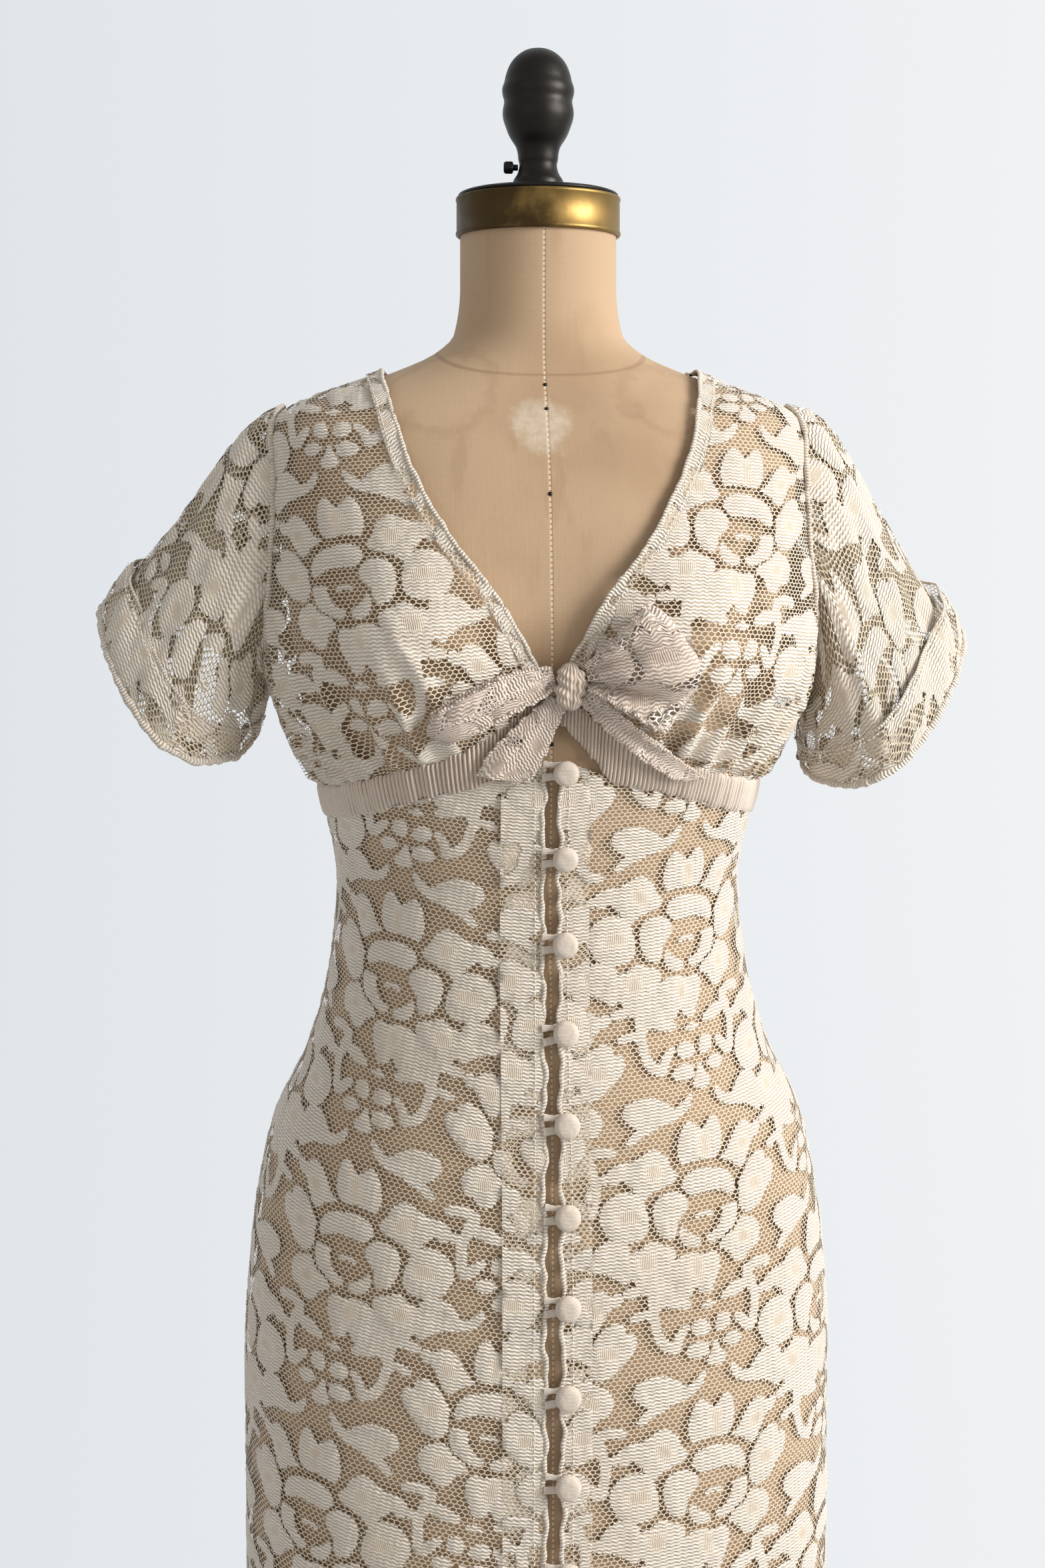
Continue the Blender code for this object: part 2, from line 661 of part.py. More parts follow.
def skirt_front_points(out=0.0):
    """The inner face of the skirt's front on the +X side."""
    rows = HEM_HEIGHT + (seam_height(0.0, "skirt_top") - HEM_HEIGHT) * skirt_rows()
    front = skirt_points(angle_of_x(np.full_like(rows, FRONT_EDGE), rows), SIDE_ANGLE, skirt_columns(), out)
    front[:, -1, 1] = -SEAM_GAP / 2
    return front


def build_skirt():
    """Four skirt panels, and the doubled strips along the two front edges."""
    front = skirt_front_points()
    cloth("skirt_front_l", flipped(front), LACE)
    cloth("skirt_front_r", front, LACE)
    sides = np.full(len(skirt_rows()), SIDE_ANGLE)
    back = skirt_points(sides, 180.0, np.linspace(0, 1, BACK_COLUMNS))
    back[:, 0, 1] = SEAM_GAP / 2
    back[:, -1, 0] = SEAM_GAP / 2
    cloth("skirt_back_l", flipped(back), LACE)
    cloth("skirt_back_r", back, LACE)
    lifted = skirt_front_points(out=WALL + TRIM_GAP)
    for side, width in (("l", PLACKET_WIDTH_LEFT), ("r", PLACKET_WIDTH_RIGHT)):
        strip = np.stack([along_row(line, np.array([0.0, 0.5, 1.0]) * width) for line in lifted])
        cloth("placket_" + side, flipped(strip) if side == "l" else strip, TRIM, wall=TRIM_WALL)


def sleeve_turns():
    """Angles round a sleeve from its top through the front, at the armhole's points."""
    down = np.pi * (1 - armhole_climb()[::-1])
    return np.concatenate([down, 2 * np.pi - down[-2::-1]])


def armhole_ring(allowance):
    """The sleeve's ring at the armhole on the +X side, or one further on by an allowance.

    The allowance runs along the body over the shoulder and straight off it under the arm.
    """
    climb = np.concatenate([armhole_climb()[::-1], armhole_climb()[1:]])
    way = np.where(np.arange(len(climb)) < len(armhole_climb()), -1, 1)
    under = np.cos(np.pi * climb / 2) ** 4
    inset = SEAM_GAP + WALL * under + allowance * (1 - under)
    chart = armhole_edge(climb, way, inset)
    return off_body(chart[:, 0], chart[:, 1], bodice_out(chart[:, 0], chart[:, 1]) + 1.5 * allowance * under)


def sleeve_points(side, shares):
    """The inner face of a sleeve, with its rows from the armhole to the opening."""
    shape, turns = SLEEVES[side], sleeve_turns()
    mirror = np.array([-1.0 if side == "l" else 1.0, 1.0, 1.0])
    seam = armhole_ring(0.0) * mirror
    start = armhole_ring(SLEEVE_SEAM_ALLOWANCE) * mirror
    middle, outer, front = (np.array(value) for value in (shape.middle, shape.outer, shape.front))
    end = middle + outer * np.cos(turns)[:, None] + front * np.sin(turns)[:, None]
    cap = shape.cap * (0.5 + 0.5 * np.cos(turns)) ** 2
    t = np.asarray(shares)[:, None, None]
    lift = cap[None, :, None] * np.sin(np.pi * t**0.55) * (1 - t) ** 2 * np.array([0.6 * mirror[0], 0.0, 0.8])
    return np.concatenate([seam[None], (1 - t) * start + t * end + lift])


def outward(points):
    """Outward unit normals of a tube given as rings of points, with its last column on its first."""
    around = np.roll(points[:, :-1], -1, axis=1) - np.roll(points[:, :-1], 1, axis=1)
    around = np.concatenate([around, around[:, :1]], axis=1)
    normal = np.cross(around, np.gradient(points, axis=0))
    normal /= np.linalg.norm(normal, axis=-1, keepdims=True)
    away = points - points[:, :-1].mean(axis=1, keepdims=True)
    return normal * np.sign((normal * away).sum(axis=-1, keepdims=True))


def cuff_points(side):
    """The inner face of a turned-back cuff, with its rows from the fold at the opening to its free edge."""
    turns = sleeve_turns()
    tube = sleeve_points(side, np.linspace(0, 1, 41))[1:]
    last, normals = len(tube) - 1, outward(tube)
    outer = 0.5 + 0.5 * np.cos(turns)
    width = CUFF_WIDTH_INNER + (CUFF_WIDTH_OUTER - CUFF_WIDTH_INNER) * outer
    lengths = np.linalg.norm(tube[-1] - tube[0], axis=-1)
    along = (tube[-1] - tube[-2]) / np.linalg.norm(tube[-1] - tube[-2], axis=-1, keepdims=True)
    rows = []
    for share in (-0.04, 0.30, 0.65, 1.0):
        spot = last * np.clip(1 - share * width / lengths, 0, 1)
        low = np.minimum(spot.astype(int), last - 1)
        part = (spot - low)[:, None]
        around = np.arange(len(turns))
        row = (1 - part) * tube[low, around] + part * tube[low + 1, around]
        face = (1 - part) * normals[low, around] + part * normals[low + 1, around]
        flare = SLEEVES[side].cuff_flare * max(share, 0) * (0.25 + 0.75 * outer)[:, None]
        rows.append(row + along * max(-share, 0) * width[:, None] + face * (WALL + TRIM_GAP + flare))
    return np.array(rows)


def build_sleeves():
    """Short sleeves set into the armholes, each with a turned-back cuff over its end."""
    for side in "lr":
        tube = sleeve_points(side, np.array([0.0, 0.16, 0.34, 0.54, 0.76, 1.0]))
        cuff = cuff_points(side)[::-1]
        if side == "r":
            tube, cuff = tube[:, ::-1], cuff[:, ::-1]
        cloth("sleeve_" + side, tube, LACE, closed=True)
        cloth("cuff_" + side, cuff, TRIM, wall=TRIM_WALL, closed=True)


def front_face(x, height, out):
    """Points at a distance off the outer face of the bodice's front."""
    angle = angle_of_x(x, height)
    return off_body(angle, height, bodice_out(angle, height) + WALL + np.asarray(out))


def build_bow():
    """The knot, two flattened loops and two tails, lying on the bodice."""
    across = np.array([-1.0, -0.5, 0.0, 0.5, 1.0])
    for name, ties in BOW.items():
        spine = np.array([(tie.x, tie.height) for tie in ties])
        run = np.gradient(spine, axis=0)
        turn = int(np.argmax(np.abs(spine[:, 0] - KNOT_X)))
        looped = turn < len(ties) - 1
        if looped:
            run[turn:] *= -1
            run[turn] = spine[turn] - spine[0]
        run /= np.linalg.norm(run, axis=1, keepdims=True)
        beside = np.stack([-run[:, 1], run[:, 0]], axis=1)
        half = np.array([tie.half_width for tie in ties])
        chart = spine[:, None] + beside[:, None] * (half[:, None] * across[None, :])[..., None]
        out = np.array([tie.out for tie in ties])[:, None] + 0 * across[None, :]
        points = front_face(chart[..., 0], chart[..., 1], out)
        if name.endswith("_l"):
            points = points[:, ::-1]
        made = cloth(name, points, TRIM, wall=TRIM_WALL)
        if looped:
            made.modifiers["Solidify"].offset = 0.0
    bm = bmesh.new()
    bmesh.ops.create_uvsphere(bm, u_segments=14, v_segments=8, radius=1.0)
    for vert in bm.verts:
        pinch = 1 - 0.18 * math.exp(-((vert.co.z + 0.15) / 0.25) ** 2)
        vert.co.x *= KNOT_HALF_WIDTH * pinch
        vert.co.y *= KNOT_HALF_DEPTH * pinch
        vert.co.z *= KNOT_HALF_HEIGHT
    mesh = bpy.data.meshes.new("bow_knot")
    bm.to_mesh(mesh)
    bm.free()
    mesh.shade_smooth()
    knot = add_object("bow_knot", mesh, TRIM)
    knot.location = front_face(KNOT_X, KNOT_HEIGHT, TRIM_WALL + 2 * LAYER_GAP + KNOT_HALF_DEPTH + 0.0010)


def build_buttons():
    """Covered domed buttons on shanks down the right front edge, each in a loop from the left edge."""
    profile = [
        (0.0, SHANK_HEIGHT + BUTTON_DOME),
        (0.45 * BUTTON_RADIUS, SHANK_HEIGHT + 0.90 * BUTTON_DOME),
        (0.80 * BUTTON_RADIUS, SHANK_HEIGHT + 0.60 * BUTTON_DOME),
        (BUTTON_RADIUS, SHANK_HEIGHT + 0.16 * BUTTON_DOME),
        (0.93 * BUTTON_RADIUS, SHANK_HEIGHT),
        (SHANK_RADIUS, SHANK_HEIGHT),
        (SHANK_RADIUS, 0.0),
        (0.0, 0.0),
    ]
    lifted = skirt_front_points(out=WALL + TRIM_GAP)
    line = np.concatenate([along_row(row, np.array([BUTTON_X - FRONT_EDGE])) for row in lifted])
    beside = lifted[:, 1] - lifted[:, 0]
    for count in range(BUTTONS):
        height = BUTTON_FIRST_HEIGHT - count * BUTTON_STEP
        low = int(np.searchsorted(line[:, 2], height)) - 1
        part = (height - line[low, 2]) / (line[low + 1, 2] - line[low, 2])
        facing = Vector(np.cross(beside[low], line[low + 1] - line[low])).normalized()
        seat = Vector((1 - part) * line[low] + part * line[low + 1]) + facing * (TRIM_WALL + LAYER_GAP)
        button = turned(f"button_{count + 1:02d}", profile, 10, BUTTON)
        button.location = seat
        button.rotation_euler = facing.to_track_quat("Z", "Y").to_euler()
        build_loop(f"loop_{count + 1:02d}", seat, facing)


def build_loop(name, seat, facing):
    """A cord loop that leaves the left front edge, passes round a button's shank and comes back."""
    up = (Vector((0.0, 0.0, 1.0)) - facing * facing.z).normalized()
    side = up.cross(facing).normalized()
    start = -(FRONT_EDGE + BUTTON_X) + LOOP_CORD_RADIUS + SEAM_GAP
    bend = [math.radians(turn) for turn in (-90, -45, 0, 45, 90)]
    route = [(start, -LOOP_HALF_HEIGHT)]
    route += [(LOOP_HALF_HEIGHT * math.cos(turn), LOOP_HALF_HEIGHT * math.sin(turn)) for turn in bend]
    route += [(start, LOOP_HALF_HEIGHT)]
    curve = bpy.data.curves.new(name, "CURVE")
    curve.dimensions = "3D"
    curve.bevel_depth = LOOP_CORD_RADIUS
    curve.bevel_resolution = 1
    curve.use_fill_caps = True
    spline = curve.splines.new("POLY")
    spline.points.add(len(route) - 1)
    for point, (right, rise) in zip(spline.points, route):
        drop = LOOP_DROP * min(max(-right / -start, 0), 1)
        point.co = (*(seat + side * right + up * rise + facing * (SHANK_HEIGHT / 2 - drop)), 1.0)
    add_object(name, curve, BUTTON)


# The model's own collection, cleared of whatever was in the scene
for old in list(bpy.data.objects):
    bpy.data.objects.remove(old)
PARTS = bpy.data.collections.new("lace_dress_on_form")
bpy.context.scene.collection.children.link(PARTS)
LACE = material("lace", (0.80, 0.76, 0.68), 0.85)
TRIM = material("lace_trim", (0.76, 0.70, 0.63), 0.85)
BUTTON = material("covered_button", (0.78, 0.74, 0.67), 0.70)
LINEN = material("linen", (0.60, 0.42, 0.27), 0.90)
BRASS = material("aged_brass", (0.42, 0.30, 0.12), 0.45, 1.0)
IRON = material("blackened_iron", (0.030, 0.028, 0.026), 0.50, 0.7)

build_torso()
build_neck_hardware()
build_stand()
build_bodice()
build_band()
build_skirt()
build_sleeves()
build_bow()
build_buttons()
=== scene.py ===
"""Lace dress on a limbless dress form: lace, trimmings, bow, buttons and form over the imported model.

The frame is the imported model's: +Z up, the dress faces -Y, the viewer's right is +X, and lengths are in
metres. A place on the body is a turn round the pole, 0 degrees at the centre front and 90 at the side, and
a height. The lace is cut from flat cloth: its motifs and net are charted in millimetres on a half-drop
repeat, laid on each panel and carried onto the figure.
"""

from __future__ import annotations

import logging
import math
from dataclasses import dataclass
from enum import Enum
from functools import partial
from typing import Callable, Sequence, Union

import bmesh
import bpy
import numpy as np
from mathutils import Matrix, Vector
from mathutils.geometry import delaunay_2d_cdt

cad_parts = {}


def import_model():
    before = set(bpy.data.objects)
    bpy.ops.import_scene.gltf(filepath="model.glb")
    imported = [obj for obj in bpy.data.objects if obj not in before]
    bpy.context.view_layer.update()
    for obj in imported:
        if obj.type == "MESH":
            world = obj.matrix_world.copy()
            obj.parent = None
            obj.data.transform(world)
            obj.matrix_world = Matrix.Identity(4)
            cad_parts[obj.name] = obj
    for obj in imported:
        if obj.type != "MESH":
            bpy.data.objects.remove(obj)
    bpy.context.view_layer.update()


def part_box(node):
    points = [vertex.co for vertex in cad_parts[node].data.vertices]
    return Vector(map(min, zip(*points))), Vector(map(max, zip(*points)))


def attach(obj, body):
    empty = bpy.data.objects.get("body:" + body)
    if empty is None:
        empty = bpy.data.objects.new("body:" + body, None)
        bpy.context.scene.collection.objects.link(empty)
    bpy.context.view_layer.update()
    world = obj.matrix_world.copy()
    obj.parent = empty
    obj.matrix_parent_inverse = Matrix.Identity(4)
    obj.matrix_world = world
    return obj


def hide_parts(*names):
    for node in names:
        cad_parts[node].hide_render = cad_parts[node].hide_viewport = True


LOG = logging.getLogger("lace_dress")
Array = np.ndarray
Curve = Callable[[Array], Array]
Material = bpy.types.Material
Piece = bpy.types.Object
Node = bpy.types.Node
Socket = bpy.types.NodeSocket
Value = Union[Node, Socket, float, str, Sequence[float]]
Colour = tuple[float, float, float, float]
Profile = tuple[tuple[float, float], ...]
MM = 0.001
SIDES = ((-1, "l"), (1, "r"))

# The figure's seams and edges
HEM_HEIGHT = 0.320
FORM_BOTTOM = 0.580
SIDE_TURN = 90.0
FRONT_EDGE = 0.0052
NECK_FOOT = 1.1835
NECK_POINT_HEIGHT = 1.3735
BACK_NECK_HEIGHT = 1.3300
SHOULDER_SEAT = (1.3530, 1.3600)
ARMHOLE_MIDDLE = 1.2635
ARMHOLE_REACH = 0.0865
ARMHOLE_SPREAD = 20.0
ARMHOLE_HALF_WIDTH = 0.042
NECK_TOP = 1.4850

# The cloth
WALL = 0.0012
TRIM_WALL = 0.0010
LAYER_GAP = 0.0004
SEAM_GAP = 0.0003
FORM_CLEARANCE = 0.0030
SHOULDER_CLEARANCE = 0.0006
HEM_FOLDS = 11
HEM_FOLD_DEPTH = 0.009
HEM_FOLD_START = 0.640
NECK_EDGE_WIDTH = 0.0105
PLACKET_WIDTHS = {-1: 0.024, 1: 0.017}
RIB = 0.0027

# How finely a flat cut is counted, its margin, and how near counts as the same place
AREA_STEP = 0.002
FLAT_MARGIN = 0.002
NEAR = 1e-9

# The bust
BUST_APART = 0.085
BUST_HEIGHT = 1.205
BUST_RISE = 0.024
BUST_SPREAD = 0.050
BUST_DROP = 0.055

# Height, half width, front depth, back depth and squareness of the body
BODY = np.array((
    (0.320, 0.2100, 0.1470, 0.1580, 2.05),
    (0.450, 0.1930, 0.1290, 0.1410, 2.10),
    (0.580, 0.1800, 0.1160, 0.1290, 2.15),
    (0.680, 0.1812, 0.1130, 0.1280, 2.15),
    (0.760, 0.1817, 0.1130, 0.1270, 2.15),
    (0.830, 0.1775, 0.1125, 0.1220, 2.15),
    (0.900, 0.1655, 0.1095, 0.1120, 2.15),
    (0.950, 0.1425, 0.1040, 0.1010, 2.15),
    (1.000, 0.1290, 0.0970, 0.0910, 2.15),
    (1.055, 0.1240, 0.0940, 0.0870, 2.15),
    (1.110, 0.1340, 0.0985, 0.0920, 2.20),
    (1.160, 0.1470, 0.1030, 0.0990, 2.25),
    (1.210, 0.1560, 0.1050, 0.1040, 2.30),
    (1.260, 0.1620, 0.1020, 0.1050, 2.40),
    (1.300, 0.1660, 0.0930, 0.1010, 2.50),
    (1.330, 0.1670, 0.0810, 0.0900, 2.45),
    (1.345, 0.1630, 0.0720, 0.0800, 2.35),
    (1.355, 0.1480, 0.0640, 0.0710, 2.25),
    (1.366, 0.1200, 0.0560, 0.0630, 2.20),
    (1.376, 0.0920, 0.0510, 0.0570, 2.15),
    (1.388, 0.0660, 0.0485, 0.0530, 2.10),
    (1.400, 0.0540, 0.0480, 0.0510, 2.05),
    (1.430, 0.0500, 0.0478, 0.0490, 2.00),
    (1.468, 0.0500, 0.0500, 0.0500, 2.00),
    (1.490, 0.0500, 0.0500, 0.0500, 2.00),
))
# Height, and the neckline's distance from the centre line
NECKLINE = np.array((
    (1.1830, 0.0052), (1.1990, 0.0085), (1.2200, 0.0205), (1.2400, 0.0330), (1.2680, 0.0545),
    (1.2940, 0.0700), (1.3220, 0.0834), (1.3460, 0.0910), (1.3735, 0.0990),
))
# Turn, heights of the band's top and bottom and of the skirt's top
UNDERBUST = np.array((
    (0, 1.1830, 1.1710, 1.1460),
    (4, 1.1760, 1.1600, 1.1430),
    (8, 1.1670, 1.1470, 1.1390),
    (13, 1.1580, 1.1340, 1.1340),
    (20, 1.1495, 1.1295, 1.1295),
    (32, 1.1405, 1.1215, 1.1215),
    (50, 1.1290, 1.1110, 1.1110),
    (70, 1.1210, 1.1030, 1.1030),
    (90, 1.1170, 1.0990, 1.0990),
    (130, 1.1150, 1.0970, 1.0970),
    (180, 1.1145, 1.0965, 1.0965),
))


class Line(Enum):
    """The seam lines under the bust, as columns of UNDERBUST."""

    BAND_TOP = 1
    BAND_BOTTOM = 2
    SKIRT_TOP = 3


class Edge(Enum):
    """The edges of a piece that lies round the body."""

    LOW = "low"
    HIGH = "high"
    INNER = "inner"
    OUTER = "outer"


def smooth_curve(x: Array, knots: Array, values: Array) -> Array:
    """Reads a smooth curve through knots that never overshoots them.

    Args:
        x: Where to read the curve.
        knots: Rising places of the knots.
        values: The curve's values there.

    Returns:
        The curve's values at x.
    """
    step = np.diff(knots)
    slope = np.diff(values) / step
    tangent = np.concatenate([slope[:1], np.zeros(len(knots) - 2), slope[-1:]])
    same_way = slope[:-1] * slope[1:] > 0
    after, before = 2 * step[1:] + step[:-1], step[1:] + 2 * step[:-1]
    below = np.where(same_way, after * slope[1:] + before * slope[:-1], 1.0)
    tangent[1:-1] = np.where(same_way, (after + before) * slope[:-1] * slope[1:] / below, 0.0)
    place = np.clip(np.searchsorted(knots, x) - 1, 0, len(step) - 1)
    t = np.clip((x - knots[place]) / step[place], 0, 1)
    return (
        (2 * t**3 - 3 * t**2 + 1) * values[place]
        + (t**3 - 2 * t**2 + t) * step[place] * tangent[place]
        + (3 * t**2 - 2 * t**3) * values[place + 1]
        + (t**3 - t**2) * step[place] * tangent[place + 1]
    )


def ease(x: Array, low: float, high: float) -> Array:
    """Returns 0 below low, 1 above high, and a soft step between them."""
    t = np.clip((x - low) / (high - low), 0, 1)
    return t * t * (3 - 2 * t)


def unit(vectors: Array) -> Array:
    """Returns the vectors at length 1."""
    return vectors / np.maximum(np.linalg.norm(vectors, axis=-1, keepdims=True), 1e-12)


def steady(value: float) -> Curve:
    """Returns a line that keeps one value."""
    return lambda place: value + 0 * place


def from_back(line: Curve) -> Curve:
    """Returns a line of turns from the centre front as one of turns from the centre back."""
    return lambda turn: line(180 - turn)


def run_along(points: Array) -> Array:
    """Returns the distance along a row of points."""
    return np.concatenate([[0.0], np.cumsum(np.linalg.norm(np.diff(points, axis=0), axis=1))])


def read_along(places: Array, run: Array, points: Array) -> Array:
    """Returns the points at places along a row of points."""
    return np.stack([np.interp(places, run, column) for column in points.T], axis=-1)


def read_table(table: Array, row: Array, column: Array) -> Array:
    """Reads a table between its rows and columns."""
    low = np.clip(row.astype(int), 0, table.shape[0] - 2)
    left = np.clip(column.astype(int), 0, table.shape[1] - 2)
    up, across = row - low, column - left
    lower, upper = ((1 - across) * table[k, left] + across * table[k, left + 1] for k in (low, low + 1))
    return (1 - up) * lower + up * upper


def uneven(count: int, every: float, seed: int) -> Array:
    """Returns smooth uneven values from -1 to 1, with a knot every so many places."""
    knots = np.arange(0, count + 2 * every, every)
    return smooth_curve(np.arange(count), knots, np.random.default_rng(seed).uniform(-1, 1, len(knots)))


class Figure:
    """The padded form's skin, the seams on it, and how far each part of the dress stands off it."""

    @staticmethod
    def section(height: Array) -> list[Array]:
        """Returns half width, front depth, back depth and squareness at a height."""
        return [smooth_curve(height, BODY[:, 0], BODY[:, k]) for k in range(1, 5)]

    def skin(self, turn: Array, height: Array) -> Array:
        """Returns the points of the form's skin at turns and heights."""
        turn, height = np.broadcast_arrays(np.asarray(turn, float), np.asarray(height, float))
        half, front, back, square = self.section(height)
        across, along = np.sin(np.radians(turn)), np.cos(np.radians(turn))
        power = 2 / square
        x = half * np.sign(across) * np.abs(across) ** power
        y = -np.where(along > 0, front, back) * np.sign(along) * np.abs(along) ** power
        drop = ((height - BUST_HEIGHT) / BUST_DROP) ** 2
        cups = sum(np.exp(-(((x - side * BUST_APART) / BUST_SPREAD) ** 2) - drop) for side, _ in SIDES)
        return np.stack([x, y - BUST_RISE * cups * ease(along, 0.0, 0.35), height + 0 * x], axis=-1)

    def normal(self, turn: Array, height: Array) -> Array:
        """Returns the skin's outward unit normals."""
        step, rise = 0.6, 0.0015
        along = self.skin(turn + step, height) - self.skin(turn - step, height)
        return unit(np.cross(along, self.skin(turn, height + rise) - self.skin(turn, height - rise)))

    def off(self, turn: Array, height: Array, out: Array) -> Array:
        """Returns points held out from the skin by a distance."""
        return self.skin(turn, height) + self.normal(turn, height) * np.asarray(out)[..., None]

    def turn_of(self, x: Array, height: Array) -> Array:
        """Returns the turn of the front's point at a distance from the centre line."""
        half, _, _, square = self.section(height)
        return np.sign(x) * np.degrees(np.arcsin(np.clip(np.abs(x) / half, 0, 1) ** (square / 2)))

    @staticmethod
    def seam(turn: Array, line: Line) -> Array:
        """Returns the height of a seam line under the bust at a turn."""
        return smooth_curve(180 - np.abs(180 - np.abs(turn)), UNDERBUST[:, 0], UNDERBUST[:, line.value])

    def bodice_out(self, turn: Array, height: Array) -> Array:
        """Returns how far the bodice stands off: seated on the shoulders, most at the sides of the bust."""
        on_ridge = 1 - ease(np.abs(np.abs(turn) - SIDE_TURN), 0.5, 12)
        seat = on_ridge * ease(height, *SHOULDER_SEAT)
        rise = ease(height - self.seam(turn, Line.BAND_TOP), 0.0, 0.075) * (1 - ease(height, 1.205, 1.330))
        sideways = 0.25 + 0.75 * ease(np.abs(turn), 15, 75)
        back = 1 - 0.75 * ease(np.abs(turn), 95, 140)
        return SHOULDER_CLEARANCE * seat + FORM_CLEARANCE * (1 - seat) + 0.017 * rise * sideways * back

    @staticmethod
    def skirt_out(turn: Array, height: Array) -> Array:
        """Returns how far the skirt stands off the form, with soft folds that grow towards the hem."""
        wave = 0.5 + 0.5 * np.cos(np.radians(turn * HEM_FOLDS + 25 * np.sin(np.radians(3 * turn))))
        return FORM_CLEARANCE + HEM_FOLD_DEPTH * wave * (1 - ease(height, HEM_HEIGHT, HEM_FOLD_START))

    @staticmethod
    def neckline(height: Array) -> Array:
        """Returns the front edge's distance from the centre line at a height."""
        return smooth_curve(height, NECKLINE[:, 0], NECKLINE[:, 1])

    @staticmethod
    def armhole_turn(height: Array) -> Array:
        """Returns how far the armhole's edge is from the side line, in degrees, at a height."""
        return ARMHOLE_SPREAD * np.sqrt(1 - np.clip((height - ARMHOLE_MIDDLE) / ARMHOLE_REACH, -1, 1) ** 2)

    @staticmethod
    def armhole_edge(climb: Array, way: Array, inset: Array) -> tuple[Array, Array]:
        """Returns the turns and heights of the armhole's edge, inset into the hole by a distance."""
        spread = ARMHOLE_SPREAD * (1 - inset / ARMHOLE_HALF_WIDTH)
        height = ARMHOLE_MIDDLE - (ARMHOLE_REACH - inset) * np.cos(np.pi * climb)
        return SIDE_TURN + way * spread * np.sin(np.pi * climb), height


@dataclass
class FlatChart:
    """How the body's skin unrolls: distance round from a centre line, and distance up.

    Args:
        figure: The body.
        back: Whether the centre line is the back's.
        shares, levels: How many places round the body and how many heights it charts.
    """

    figure: Figure
    back: bool
    shares: int = 121
    levels: int = 240

    def __post_init__(self) -> None:
        """Charts the body from its centre line to its side."""
        turns = np.linspace(0, SIDE_TURN, 181)
        self.heights = np.linspace(HEM_HEIGHT, NECK_POINT_HEIGHT, self.levels)
        rows = self.figure.skin((180 - turns if self.back else turns)[None, :], self.heights[:, None])
        runs = [run_along(row) for row in rows]
        self.girth = np.array([run[-1] for run in runs])
        shares = np.linspace(0, 1, self.shares)
        self._turns = np.stack([np.interp(shares * run[-1], run, turns) for run in runs])
        slant = self.figure.skin(np.full(self.levels, 130.0 if self.back else 50.0), self.heights)
        self.rises = HEM_HEIGHT + run_along(slant)

    def turn_of(self, run: Array, height: Array) -> Array:
        """Returns the turns of distances round from the centre line, with their signs."""
        level = np.interp(height, self.heights, np.arange(self.levels))
        girth = np.interp(level, np.arange(self.levels), self.girth)
        share = np.clip(np.abs(run) / girth, 0, 1.2) * (self.shares - 1)
        return np.sign(run) * read_table(self._turns, level, share)


class Panel:
    """A piece of lace: which part of the flat cloth it is, and where that lies on the figure."""

    name: str
    facing: int
    flat_box: tuple[float, float, float, float]

    def unlay(self, flat: Array) -> tuple[Array, Array]:
        """Returns each flat point's place, brought to the piece's edge, and whether it is inside."""
        raise NotImplementedError

    def surface(self, place: Array, out: Array) -> Array:
        """Returns the points in space of places on the piece, held out by a distance."""
        raise NotImplementedError

    def along(self, places: Array, out: float) -> tuple[Array, Array]:
        """Returns points held out by a distance, and the outward unit normals there."""
        points, above = (self.surface(places, np.full(len(places), far)) for far in (out, out + MM))
        return points, unit(above - points)

    def cut_area(self) -> float:
        """Returns the area of the piece's flat cut, in square metres, counted in small squares."""
        left, right, low, high = self.flat_box
        across, up = np.meshgrid(np.arange(left, right, AREA_STEP), np.arange(low, high, AREA_STEP))
        _, inside = self.unlay(np.stack([across.ravel(), up.ravel()], axis=-1))
        return float(inside.sum()) * AREA_STEP**2


